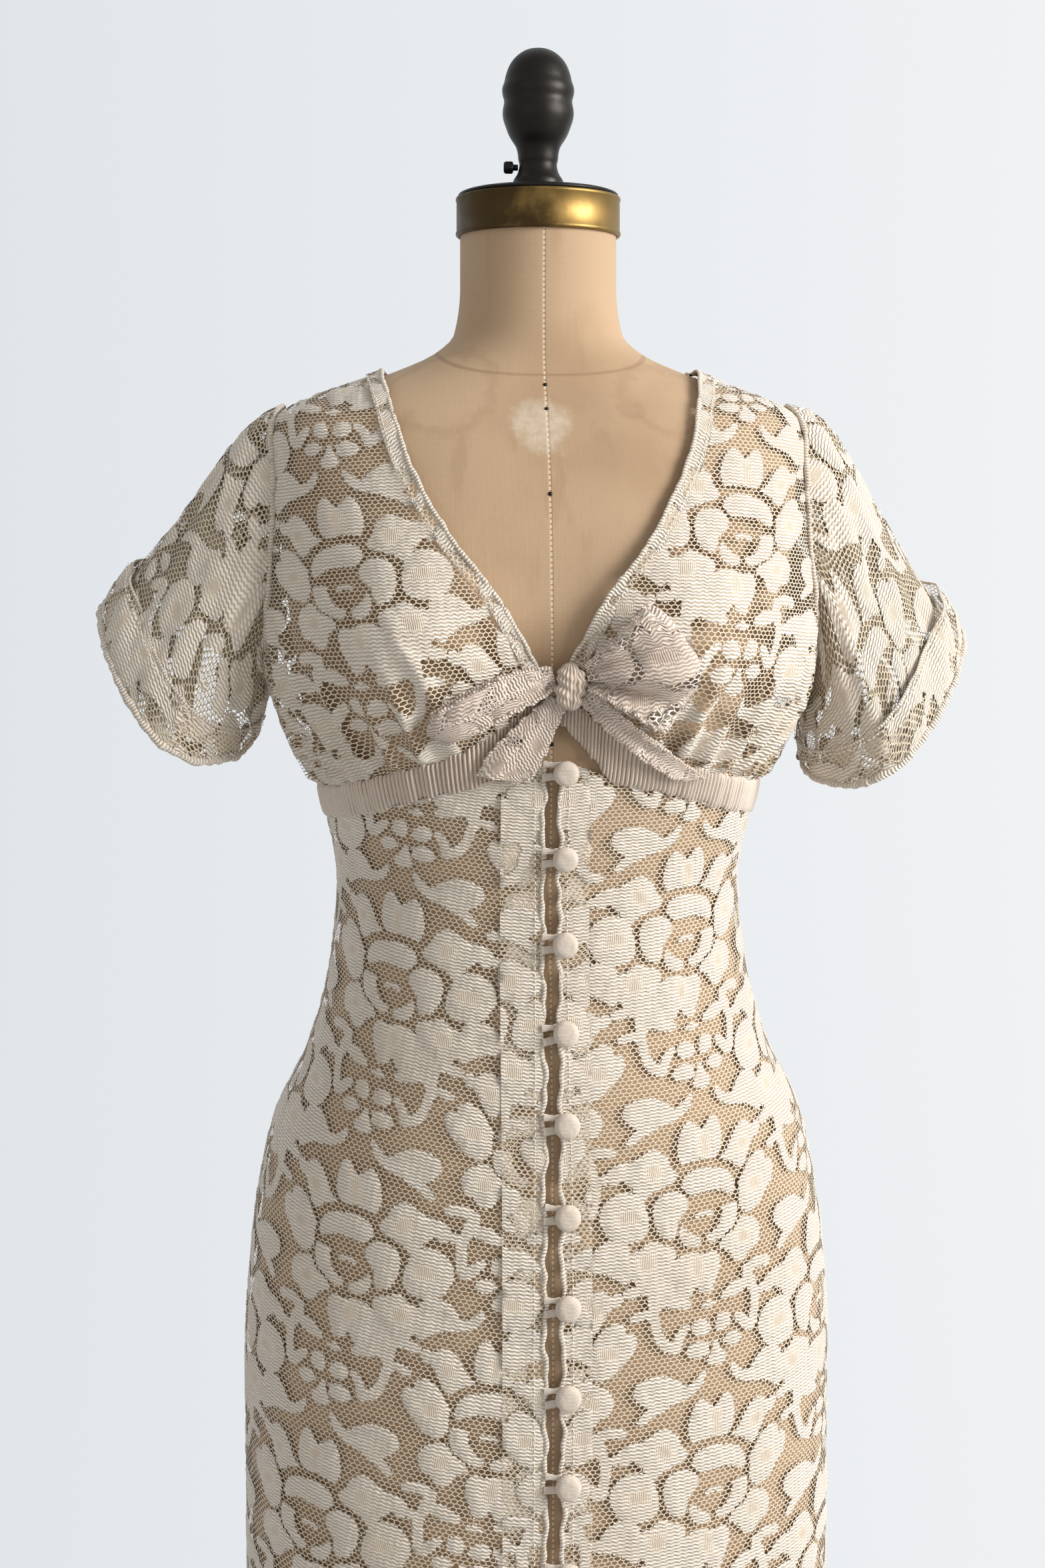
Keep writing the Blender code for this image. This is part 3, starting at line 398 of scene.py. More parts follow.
@dataclass
class BodyPanel(Panel):
    """A piece that lies round the body, between lower and upper edges and two side edges.

    Args:
        name: The piece's name.
        chart: How the body unrolls, on the front or the back.
        side: 1 for the +X side, -1 for the other, 0 for both.
        low, high: Lower and upper edges, as heights of a turn from the centre line.
        inner, outer: Side edges, as turns from the centre line at a height.
        out: Distance off the form of a body turn and height.
        fullness: How much wider the cloth is than its place at a height, or None where it lies flat.
    """

    name: str
    chart: FlatChart
    side: int
    low: Curve
    high: Curve
    inner: Curve
    outer: Curve
    out: Callable[[Array, Array], Array]
    fullness: Curve | None = None

    def __post_init__(self) -> None:
        """Finds the stretch of flat cloth that the piece needs."""
        self.facing = (self.side or 1) * (-1 if self.chart.back else 1)
        heights = np.linspace(float(self.low(np.array(45.0))) - 0.03, NECK_POINT_HEIGHT, 60)
        reach = float(self.chart.girth.max())
        across = (-reach if self.side == 0 else 0.0, reach)
        turns = np.linspace(0, SIDE_TURN, 30)
        ends = np.array([self.low(turns).min(), self.high(turns).max()])
        low, high = np.interp(ends, self.chart.heights, self.chart.rises)
        widest = self.outer(heights)
        if widest.max() < SIDE_TURN - 1:
            across = (0.0, 1.25 * float(np.abs(self.chart.figure.skin(widest, heights)[:, 0]).max()))
        reached = (across[0], across[1], float(low), float(high))
        self.flat_box = tuple(place + way * FLAT_MARGIN for place, way in zip(reached, (-1, 1, -1, 1)))

    def unlay(self, flat: Array) -> tuple[Array, Array]:
        """Returns each flat point's turn and height, brought to the edge, and whether it is inside."""
        rises = self.chart.rises
        height = np.interp(flat[:, 1], rises, self.chart.heights)
        run = flat[:, 0] if self.side == 0 else np.maximum(flat[:, 0], 0)
        if self.fullness:
            run = run / self.fullness(height)
        turn = self.chart.turn_of(run, height)
        size = np.abs(turn)
        low = self.low(size)
        kept_height = np.clip(height, low, np.maximum(self.high(size), low))
        inner = self.inner(kept_height)
        kept_turn = np.clip(size, inner, np.maximum(self.outer(kept_height), inner))
        inside = (np.abs(kept_turn - size) < NEAR) & (np.abs(kept_height - height) < NEAR)
        inside &= (flat[:, 1] >= rises[0] - NEAR) & (flat[:, 1] <= rises[-1] + NEAR)
        if self.side:
            inside &= flat[:, 0] >= 0
        return np.stack([np.where(turn < 0, -kept_turn, kept_turn), kept_height], axis=-1), inside

    def surface(self, place: Array, out: Array) -> Array:
        """Returns points in space of turns from the centre line and heights."""
        turn, height = place[..., 0], place[..., 1]
        body_turn = 180 - np.abs(turn) if self.chart.back else np.abs(turn)
        points = self.chart.figure.off(body_turn, height, self.out(body_turn, height) + out)
        points[..., 0] *= np.where(turn < 0, -1.0, 1.0) * (self.side or 1)
        return points

    def edge(self, edge: Edge, start: float = 0.0, inset: float = 0.0) -> Array:
        """Returns places along an edge.

        Args:
            edge: Which edge.
            start: The height that a side edge starts from, if above the piece's lower edge.
            inset: How far inside the edge the places are, in degrees or metres.

        Returns:
            Turns and heights, from the centre line outwards or from the lower end up.
        """
        line = getattr(self, edge.value)
        inset = inset if edge in (Edge.LOW, Edge.INNER) else -inset
        if edge in (Edge.LOW, Edge.HIGH):
            middle = line(np.array(45.0))
            turns = np.linspace(float(self.inner(middle)), float(self.outer(middle)), 200)
            if self.side == 0 and edge is Edge.LOW:
                turns = np.linspace(-turns[-1], turns[-1], 400)
            return np.stack([turns, line(turns) + inset], axis=-1)
        turn = line(np.array(1.0))
        heights = np.linspace(max(float(self.low(turn)), start), float(self.high(turn)), 300)
        return np.stack([line(heights) + inset, heights], axis=-1)


@dataclass(frozen=True)
class SleeveCut:
    """A sleeve's opening: its middle, its reach out and forwards, its cap's lift and its cuff's flare."""

    middle: tuple[float, float, float]
    outer: tuple[float, float, float]
    front: tuple[float, float, float]
    cap: float
    cuff_flare: float


SLEEVES = {
    -1: SleeveCut((-0.228, -0.004, 1.186), (-0.045, 0.0, 0.037), (0.0, -0.060, -0.037), 0.014, 0.0005),
    1: SleeveCut((0.223, -0.006, 1.166), (0.051, 0.0, 0.037), (-0.010, -0.060, -0.036), 0.022, 0.004),
}


@dataclass
class SleevePanel(Panel):
    """A short sleeve from the armhole to its opening, or a cuff turned back over its end.

    A place on it is a turn, 0 at the sleeve's top and rising towards its front, and a share of the way from
    the armhole to the opening, or on the cuff from the opening to the cuff's free edge.

    Args:
        name: The piece's name.
        figure: The body.
        side: 1 for the +X side, -1 for the other.
        cuff: Whether this is the cuff.
        allowance: How deep the seam at the armhole is.
        widths: The cuff's widths under and outside the arm.
        crease, billow: How deep the sleeve's creases and the cuff's swelling are.
        squareness: How square the opening is.
        lined: How far the lining is from the outer lace.
        evening: How strongly the chart's lines are kept evenly apart.
        columns, levels, rows: The chart's lines round the sleeve, its rings, and its rows in flat cloth.
    """

    name: str
    figure: Figure
    side: int
    cuff: bool = False
    allowance: float = 0.0020
    widths: tuple[float, float] = (0.012, 0.033)
    crease: float = 0.0030
    billow: float = 0.0022
    squareness: float = 1.25
    # lined: How far the inner layer, coloured darker as a painted shade, is from the outer lace.
    lined: float = 0.0020
    evening: float = 0.35
    columns: int = 145
    levels: int = 91
    rows: int = 81

    def __post_init__(self) -> None:
        """Charts the sleeve."""
        self.facing = self.side
        self.cut = SLEEVES[self.side]
        self._unroll()

    def _unroll(self) -> None:
        """Charts the sleeve along lines that cross its rings squarely, so that its cloth isn't skewed."""
        shares = np.linspace(0, 1, self.levels) ** 1.6
        middle = int(np.searchsorted(shares, 0.5))
        turns, rises = np.zeros((2, self.levels, self.columns))
        fine = np.linspace(-np.pi, np.pi, 4 * self.columns)
        turns[middle] = np.linspace(-np.pi, np.pi, self.columns)
        self._runs = np.interp(turns[middle], fine, self._ring_runs(fine, shares[middle]))
        for way in (1, -1):
            for level in range(middle, self.levels - 1 if way > 0 else 0, way):
                turn, share, nearer = turns[level], shares[level], shares[level + way]
                around = (self.tube(turn + 0.01, share) - self.tube(turn - 0.01, share)) / 0.02
                ahead = self.tube(turn, nearer) - self.tube(turn, share)
                twist = -(ahead * around).sum(axis=-1) / (around**2).sum(axis=-1)
                length = np.linalg.norm(ahead + around * twist[:, None], axis=-1)
                rises[level + way] = rises[level] + way * length
                ring = self._ring_runs(fine, nearer)
                even = np.interp(self._runs, self._runs[[0, -1]], ring[[0, -1]])
                square = np.interp(turn + twist, fine, ring)
                turns[level + way] = np.interp(square + self.evening * (even - square), ring, fine)
        self.flat_box = (self._runs[0], self._runs[-1], float(rises.min()), float(rises.max()))
        self._levels = np.linspace(rises.min() - 0.01, rises.max() + 0.01, self.rows)
        self._turns, self._shares = np.zeros((2, self.rows, self.columns))
        for column, rise in enumerate(rises.T):
            first, last = (rise[3] - rise[0]) / shares[3], (rise[-1] - rise[-2]) / (1 - shares[-2])
            wide = np.concatenate([[rise[0] - first], rise, [rise[-1] + last]])
            self._shares[:, column] = np.interp(self._levels, wide, np.concatenate([[-1.0], shares, [2.0]]))
            self._turns[:, column] = np.interp(self._levels, rise, turns[:, column])

    def _ring_runs(self, turns: Array, share: float) -> Array:
        """Returns the lengths along one ring of the sleeve from its top to each turn."""
        run = run_along(self.tube(turns, share))
        return run - np.interp(0.0, turns, run)

    def tube(self, turn: Array, share: Array) -> Array:
        """Finds points of the sleeve's inner face.

        Args:
            turn: Turns round the sleeve, 0 at its top.
            share: Shares of the way from the armhole to the opening.

        Returns:
            The points in space.
        """
        turn, share = np.mod(turn + np.pi, 2 * np.pi) - np.pi, share + 0 * turn
        climb = 1 - np.abs(turn) / np.pi
        under = np.cos(np.pi * climb / 2) ** 4
        begun = np.minimum(share / 0.03, 1)
        inset = SEAM_GAP + WALL * under + self.allowance * (1 - under) * begun
        turns, heights = self.figure.armhole_edge(climb, np.where(turn >= 0, -1.0, 1.0), inset)
        rise = self.figure.bodice_out(turns, heights) + 1.5 * self.allowance * under * begun
        start = self.figure.off(turns, heights, rise) * (self.side, 1.0, 1.0)
        parts = np.stack([np.cos(turn), np.sin(turn)])[..., None]
        across, along = np.sign(parts) * np.abs(parts) ** self.squareness
        middle, outer, front = map(np.array, (self.cut.middle, self.cut.outer, self.cut.front))
        end = middle + outer * across + front * along
        cap = (self.cut.cap * (0.5 + 0.5 * np.cos(turn)) ** 2)[..., None]
        t = share[..., None]
        arch = cap * np.sin(np.pi * np.clip(t, 0, 1) ** 0.62) * (1 - t) ** 2
        return (1 - t) * start + t * end + arch * (0.6 * self.side, 0.0, 0.8)

    def _cuff_share(self, turn: Array) -> Array:
        """Returns the cuff's width at a turn, widest outside the arm, as a share of the sleeve's length."""
        length = np.linalg.norm(self.tube(turn, 1.0) - self.tube(turn, 0.03), axis=-1)
        under, outside = self.widths
        return (under + (outside - under) * np.sqrt(0.5 + 0.5 * np.cos(turn))) / length

    def unlay(self, flat: Array) -> tuple[Array, Array]:
        """Returns each flat point's turn and share of the sleeve or cuff, and whether it is inside."""
        column = np.interp(flat[:, 0], self._runs, np.arange(self.columns))
        row = np.interp(flat[:, 1], self._levels, np.arange(self.rows))
        turn, share = (read_table(table, row, column) for table in (self._turns, self._shares))
        if self.cuff:
            share = (1 - share) / self._cuff_share(turn)
        inside = (flat[:, 0] >= self._runs[0]) & (flat[:, 0] <= self._runs[-1]) & (share >= 0) & (share <= 1)
        return np.stack([turn, np.clip(share, 0, 1)], axis=-1), inside

    def surface(self, place: Array, out: Array) -> Array:
        """Returns points in space of turns and shares."""
        turn, share = place[..., 0], place[..., 1]
        if self.cuff:
            flutes = 0.0024 * np.sin(5 * turn + 1.0) + 0.0012 * np.sin(11 * turn + 4 * share)
            loose = (self.cut.cuff_flare + flutes) * share + self.billow * np.sin(np.pi * share) ** 0.8
            out = out + self.lined + 0.7 * MM + loose * (0.625 + 0.375 * np.cos(turn))
            share = 1 - share * self._cuff_share(turn)
        fold = np.sin(3.2 * turn + 3.0 * share + self.side) * np.sin(7.3 * turn - 2.0 * share + 1.0)
        out = out + self.crease * np.abs(fold) ** 1.5 * np.sin(np.pi * np.clip(share, 0, 1)) ** 0.6
        step = 0.03
        around = self.tube(turn + step, share) - self.tube(turn - step, share)
        along = self.tube(turn, share + step) - self.tube(turn, np.maximum(share - step, 0))
        return self.tube(turn, share) + unit(np.cross(around, along)) * self.side * np.asarray(out)[..., None]


@dataclass(frozen=True)
class Petal:
    """A filled motif of the lace, by its outline in millimetres, with an open-worked middle or none.

    Args:
        outline: Points round it.
        open_at: Centre and half sizes of its thinner, hatched middle.
    """

    outline: tuple[tuple[float, float], ...]
    open_at: tuple[float, float, float, float] | None = None


@dataclass(frozen=True)
class Stroke:
    """A scroll or leaf of the lace, by its path in millimetres and its width along it."""

    path: tuple[tuple[float, float], ...]
    widths: tuple[float, ...]


ROSE = (
    Petal(((-9.5, 13), (-8, 17.5), (-3, 21), (6, 21.8), (15, 20), (22.5, 16.5), (26.5, 11), (27, 5),
           (24.5, 1.5), (20.5, 3.5), (13, 6), (4, 6.5), (-2, 6), (-6.5, 8.5))),
    Petal(((-28, -1), (-26.5, 6), (-21.5, 10.8), (-13, 11.8), (-7, 8), (-4.5, 2.5), (-8, -3.5),
           (-11.5, -7), (-12.5, -12.5), (-16.5, -17), (-23, -14.5), (-26.5, -8.5))),
    Petal(((-11.5, -10), (-8.5, -10), (-5.5, -13.5), (-0.5, -16.5), (3, -19.5), (1.5, -23), (-4, -24),
           (-9.5, -21.5), (-12.3, -16.5))),
    Petal(((17, -3), (22, -2), (27.5, -3), (28, -9.5), (25, -16), (17.5, -21), (9.5, -23.5), (4.8, -21),
           (6, -17), (12, -14.5), (15.2, -9.5))),
    Petal(((-1, -4.5), (4, -3), (11, -4.2), (10, -7.8), (4, -7), (0, -8))),
    Petal(((-8.5, 25), (-11, 31), (-10, 40), (-6, 48), (-1.5, 50.5), (2.5, 48), (6.5, 44.5), (10, 47.5),
           (14, 50.8), (18, 49), (20.2, 41), (20, 33), (17, 27), (11.5, 24.5), (5, 26), (-2, 25.2)),
          (7, 35, 4, 9)),
    Petal(((-11.5, 18.5), (-15, 25), (-19, 33), (-25, 36.5), (-32, 34.5), (-38, 31), (-46, 30.8), (-53, 27),
           (-54, 22.5), (-47, 22.5), (-41, 19), (-36, 12.5), (-32, 9), (-25.5, 13), (-18, 15.5)),
          (-26, 24, 6, 6)),
    Petal(((-31.5, 4), (-34, 9), (-40, 13.5), (-49, 13.5), (-56, 8.5), (-58.5, 1.5), (-56, -7),
           (-48.5, -13.5), (-39, -14.5), (-32, -11), (-30.5, -4)), (-42, 0, 9, 4)),
    Petal(((-29, -15.5), (-34, -19), (-44, -22.5), (-51, -27.5), (-52, -33.5), (-45, -35), (-39.5, -37),
           (-37, -43), (-30.5, -43.5), (-27, -38), (-20, -34.5), (-15.5, -28), (-15, -22.5),
           (-19.5, -19.8), (-24.5, -18)), (-32, -27, 6, 6)),
    Petal(((-13.5, -28), (-16.5, -34), (-15.5, -43), (-12, -50.5), (-7, -51.5), (-4, -47.5), (-2, -46),
           (1.5, -50), (6, -51.5), (9.5, -46), (12.5, -39), (13, -31.5), (10, -27.5), (4, -28.5),
           (-4, -26.8)), (-1, -35, 4, 8)),
    Petal(((14, -26), (20, -29.5), (24, -36), (30, -37.5), (34, -33), (40, -31), (43, -24.5), (41, -18),
           (35, -14), (29.5, -13), (25.5, -18), (19.5, -21)), (30, -24, 6, 5)),
    Petal(((30, 2), (29.5, -5.5), (34, -10.5), (42, -9), (49, -3), (55, 2.5), (58, 8.5), (56, 13.5),
           (51.5, 14), (51, 19), (45.5, 21), (38.5, 17.5), (33, 11), (29.5, 7)), (41, 4, 7, 5)),
    Petal(((16.5, 24.5), (21.5, 28), (26.5, 35), (33, 40.8), (41, 41), (43.5, 37.5), (48, 39), (52, 36),
           (49.5, 30.5), (43, 28.5), (38.5, 21), (33, 15), (29, 16), (24, 20.5)), (34, 29, 6, 5)),
)
SPRIG = (
    Petal(((-3.5, 7), (-4, 12), (-8.5, 15), (-14, 13.5), (-14.5, 8.5), (-10, 6), (-6, 6.5))),
    Petal(((0.5, 6.5), (-0.5, 12), (3, 17), (8.5, 16.5), (11, 11), (8.5, 6.5), (4, 5.5))),
    Petal(((-4.5, -1.5), (-8, 1.8), (-14.5, 1.8), (-19, -2), (-15.5, -6), (-9, -6.5), (-5, -4.5))),
    Petal(((5, 0.5), (9, 4.5), (14.5, 4), (18, 0), (15.5, -4.5), (10, -5), (6, -2.5))),
    Petal(((-1, 3), (1.5, 1), (4, -4), (7.5, -10), (4.5, -13.8), (0, -14.2), (-5, -12.8), (-6.5, -9),
           (-3.5, -3.5))),
    Petal(((-9.5, 23), (-6, 25.5), (-3.5, 27), (-1.5, 25.3), (3, 24), (0.5, 21.5), (-3.5, 20), (-6.5, 21))),
    Stroke(((-38, 37), (-38.5, 28), (-37.5, 19), (-35.5, 10), (-31, 4), (-25.5, 1.5), (-23, 7), (-18.5, 12)),
           (5.5, 5, 5, 5, 6, 6.5, 5, 4)),
    Stroke(((-38, 37), (-45, 38.8), (-53, 37)), (5, 6, 5)),
    Stroke(((-37.5, 19), (-42.5, 24), (-50, 22.5)), (4, 4.5, 4.5)),
    Stroke(((-37, 25), (-32, 30), (-25, 28.5), (-17, 25.5)), (3, 5, 7.5, 4.5)),
    Stroke(((23, 37), (26.5, 28), (28, 19), (27, 10), (23.5, 4), (19.5, 7.5), (15, 12)),
           (5.5, 5, 5, 5.5, 6.5, 5.5, 4)),
    Stroke(((23, 37), (31, 39.5), (39, 38)), (5, 5.5, 5)),
    Stroke(((28, 19), (33.5, 23.5), (41, 22)), (4, 4.5, 4.5)),
    Stroke(((26.5, 25), (22.5, 30), (15, 28.5), (7, 26)), (3, 5, 8, 4.5)),
    Stroke(((-8.5, -16), (-12, -21.5), (-20, -25.5), (-31, -28.5), (-42, -33.5), (-48, -38)),
           (2.5, 5, 5.5, 6, 5.5, 4)),
    Stroke(((-21, -24), (-27, -20), (-34, -16.8), (-43, -16.8), (-48.5, -21), (-44, -27), (-37, -30.5)),
           (4, 5.5, 6.5, 7, 6.5, 5, 3.5)),
    Stroke(((10.5, -16), (14, -21.5), (22, -25.5), (32, -27.5), (39, -31), (44, -36)),
           (2.5, 5, 5.5, 6, 5.5, 4)),
    Stroke(((23, -25), (28, -20), (35, -16), (42, -17.5), (44, -23), (37, -28)), (4, 5.5, 6.5, 7, 6, 4)),
)
SPRIG_AT = (9.0, -81.0)
REPEAT_ACROSS = 98.0
REPEAT_UP = 162.0
NET_ACROSS = 3.60
NET_UP = 2.25
NET_UNEVENNESS = 0.26
THREAD = 0.60
# Height of an even triangle's row, as a share of its side
ROW_SHARE = 0.87


def closed_curve(points: Array, step: float) -> Array:
    """Returns a smooth closed curve through points, as points about a step apart."""
    made = []
    for a, b, c, d in zip(*(np.roll(points, by, axis=0) for by in (1, 0, -1, -2))):
        count = max(1, round(float(np.linalg.norm(c - b)) / step))
        t = np.arange(count)[:, None] / count
        bend, twist = 2 * a - 5 * b + 4 * c - d, 3 * b - a - 3 * c + d
        made.append(0.5 * (2 * b + (c - a) * t + bend * t**2 + twist * t**3))
    return np.concatenate(made)


def stroke_outline(stroke: Stroke) -> Array:
    """Returns the outline of a scroll from its path and widths."""
    path = np.array(stroke.path)
    run = run_along(path)
    fine = np.linspace(0, run[-1], max(4, round(run[-1] / 3.0)))
    centre = np.stack([smooth_curve(fine, run, path[:, k]) for k in (0, 1)], axis=-1)
    half = np.interp(fine, run, stroke.widths)[:, None] / 2
    along = unit(np.gradient(centre, axis=0))
    beside = np.stack([-along[:, 1], along[:, 0]], axis=-1) * half
    far, near = centre[-1:] + along[-1:] * half[-1], centre[:1] - along[:1] * half[0]
    return np.concatenate([centre - beside, far, (centre + beside)[::-1], near])


@dataclass
class LacePattern:
    """One repeat of the lace: a rose and a sprig of clothwork, and the mask that says where they are.

    Args:
        grain: The mask's cell, in millimetres, as all sizes here are.
        outline_step: How far apart an outline's points are.
        fill_step: How far apart the points inside are, in rows that make even triangles.
        fill_margin: How near the outline they come.
        tooth, ragged: How far the outline's points stand in and out, evenly and unevenly.
        spread: How much wider the clothwork is than its chart.
        open_reach: How far the open work fades out past its middle, as a share of its size.
    """

    grain: float = 0.5
    outline_step: float = 1.55
    fill_step: float = 4.6
    fill_margin: float = 1.5
    tooth: float = 0.60
    ragged: float = 0.35
    spread: float = 0.55
    open_reach: float = 1.4

    def __post_init__(self) -> None:
        """Draws the motifs' ragged outlines, fills them and marks where they are."""
        self.shape = np.array((round(REPEAT_ACROSS / self.grain), round(REPEAT_UP / self.grain)))
        random = np.random.default_rng(7)
        outlines, open_work = [], []
        for motifs, shift in ((ROSE, (0.0, 0.0)), (SPRIG, SPRIG_AT)):
            for motif in motifs:
                raw = stroke_outline(motif) if isinstance(motif, Stroke) else np.array(motif.outline, float)
                curve = closed_curve(raw, self.outline_step) + shift
                rim = unit(np.roll(curve, -1, axis=0) - np.roll(curve, 1, axis=0))
                teeth = np.where(np.arange(len(curve)) % 2, self.tooth, -self.tooth)[:, None]
                ragged = self.spread + teeth + random.uniform(-self.ragged, self.ragged, (len(curve), 1))
                outlines.append(curve + np.stack([rim[:, 1], -rim[:, 0]], axis=-1) * ragged)
                if isinstance(motif, Petal) and motif.open_at:
                    open_work.append((np.add(motif.open_at[:2], shift), motif.open_at[2:]))
        self.mask = np.zeros(self.shape, bool)
        for outline in outlines:
            low = np.floor(outline.min(axis=0) / self.grain) * self.grain
            axes = [np.arange(a, b, self.grain) + self.grain / 2 for a, b in zip(low, outline.max(axis=0))]
            grid = np.stack(np.meshgrid(*axes, indexing="ij"), axis=-1).reshape(-1, 2)
            self.mask[self._cell(grid[self._within(grid, outline)])] = True
        self.points, self.faces, self.lift = self._fill(outlines)
        self.open_work = np.zeros(len(self.points))
        for middle, size in open_work:
            far = (((self.points - middle) / size) ** 2).sum(axis=1)
            self.open_work = np.maximum(self.open_work, np.clip(self.open_reach - far, 0, 1))

    @staticmethod
    def _within(points: Array, outline: Array) -> Array:
        """Returns whether each point is inside an outline."""
        x, y = points.T
        inside = np.zeros(len(points), bool)
        for (x0, y0), (x1, y1) in zip(outline, np.roll(outline, -1, axis=0)):
            if y0 != y1:
                inside ^= ((y0 > y) != (y1 > y)) & (x < (x1 - x0) * (y - y0) / (y1 - y0) + x0)
        return inside

    def _cell(self, points: Array) -> tuple[Array, Array]:
        """Returns the mask's columns and rows of points in millimetres."""
        column = np.floor(points[:, 0] / REPEAT_ACROSS)
        across = points[:, 0] - REPEAT_ACROSS * column
        up = np.mod(points[:, 1] - REPEAT_UP / 2 * column, REPEAT_UP)
        return tuple(np.minimum((np.stack([across, up]) / self.grain).astype(int), self.shape[:, None] - 1))

    def covered(self, points: Array) -> Array:
        """Returns whether points of the flat cloth, in millimetres, lie under clothwork."""
        return self.mask[self._cell(points)]

    def _fill(self, outlines: list[Array]) -> tuple[Array, Array, Array]:
        """Returns the clothwork's points and triangles, and how far each point is lifted, from 0 to 1."""
        rim = np.concatenate(outlines)
        low, high = rim.min(axis=0), rim.max(axis=0)
        rows = []
        for k, y in enumerate(np.arange(low[1], high[1], self.fill_step * ROW_SHARE)):
            x = np.arange(low[0] + (k % 2) * self.fill_step / 2, high[0], self.fill_step)
            rows.append(np.stack([x, 0 * x + y], axis=-1))
        grid = np.concatenate(rows)
        grid = grid[np.any([self._within(grid, outline) for outline in outlines], axis=0)]
        nearest = np.array([np.min(np.sum((rim - point) ** 2, axis=1)) for point in grid])
        grid = grid[nearest > self.fill_margin**2]
        ends = np.cumsum([0] + [len(outline) for outline in outlines])
        loops = [list(range(start, end)) for start, end in zip(ends, ends[1:])]
        verts = [Vector(point) for point in np.concatenate([rim, grid])]
        points, _, faces, sources, _, _ = delaunay_2d_cdt(verts, [], loops, 1, 1e-4)
        lift = np.array([1.0 if ids and min(ids) >= len(rim) else 0.0 for ids in sources])
        return np.array([tuple(point) for point in points]), np.array(faces), lift


@dataclass(frozen=True)
class LaceLayer:
    """How one layer of lace lies on a panel.

    Args:
        origin: The flat point, in metres, where the middle of a rose falls.
        lean: How far the cloth's grain leans from upright, in degrees.
        height: How far the layer is above the panel's inner face, in metres.
        finish: The index of its clothwork's material, after that of its net.
    """

    origin: tuple[float, float]
    lean: float = 0.0
    height: float = 0.0003
    finish: int = 1


def link(name: str, data: bpy.types.ID) -> Piece:
    """Puts data into the scene as a new object."""
    piece = bpy.data.objects.new(name, data)
    bpy.context.scene.collection.objects.link(piece)
    return piece


class Mesh:
    """Points, faces and flat coordinates gathered for one piece."""

    def __init__(self) -> None:
        """Starts with nothing in it."""
        self.points: list[Array] = []
        self.flat: list[Array] = []
        self.open_work: list[Array] = []
        self.faces: list[tuple[Array, int]] = []
        self.count = 0

    def add(
        self, points: Array, faces: Array, flat: Array, finish: int = 0, open_work: Array | None = None
    ) -> None:
        """Adds a patch.

        Args:
            points: Its points in space.
            faces: Its triangles or quads, as rows of indices.
            flat: Its points on the flat cloth, in metres.
            finish: The material's index.
            open_work: How open-worked it is at each point.
        """
        used = np.unique(faces)
        order = np.full(len(points), -1)
        order[used] = np.arange(len(used))
        self.points.append(points[used])
        self.flat.append(flat[used])
        self.open_work.append(np.zeros(len(used)) if open_work is None else open_work[used])
        self.faces.append((order[faces] + self.count, finish))
        self.count += len(used)

    def add_grid(self, points: Array, flat: Array, finish: int = 0, turned: bool = False) -> None:
        """Adds a grid of points and its flat points, its faces turned over where that is asked."""
        faces = grid_faces(*points.shape[:2])
        self.add(points.reshape(-1, 3), faces[:, ::-1] if turned else faces, flat.reshape(-1, 2), finish)

    def build(self, name: str, *finishes: Material) -> Piece:
        """Returns the piece as an object with its materials."""
        mesh = bpy.data.meshes.new(name)
        points = np.concatenate(self.points)
        corners = np.concatenate([faces.ravel() for faces, _ in self.faces])
        sizes = np.concatenate([np.full(len(faces), faces.shape[1]) for faces, _ in self.faces])
        slots = np.concatenate([np.full(len(faces), finish) for faces, finish in self.faces])
        mesh.vertices.add(len(points))
        mesh.vertices.foreach_set("co", points.astype(np.float32).ravel())
        mesh.loops.add(len(corners))
        mesh.loops.foreach_set("vertex_index", corners.astype(np.int32))
        mesh.polygons.add(len(sizes))
        mesh.polygons.foreach_set("loop_start", (np.cumsum(sizes) - sizes).astype(np.int32))
        mesh.polygons.foreach_set("material_index", slots.astype(np.int32))
        mesh.update(calc_edges=True)
        flat = np.concatenate(self.flat)[corners] * FLAT_SCALE
        mesh.uv_layers.new(name="Cloth").data.foreach_set("uv", flat.astype(np.float32).ravel())
        layer = mesh.attributes.new("open_work", "FLOAT", "POINT")
        layer.data.foreach_set("value", np.concatenate(self.open_work).astype(np.float32))
        mesh.shade_smooth()
        for finish in finishes:
            mesh.materials.append(finish)
        return link(name, mesh)


def grid_faces(rows: int, columns: int) -> Array:
    """Returns the quads of a grid of points."""
    first = (np.arange(rows - 1)[:, None] * columns + np.arange(columns - 1)[None, :]).ravel()
    return np.stack([first, first + 1, first + columns + 1, first + columns], axis=-1)


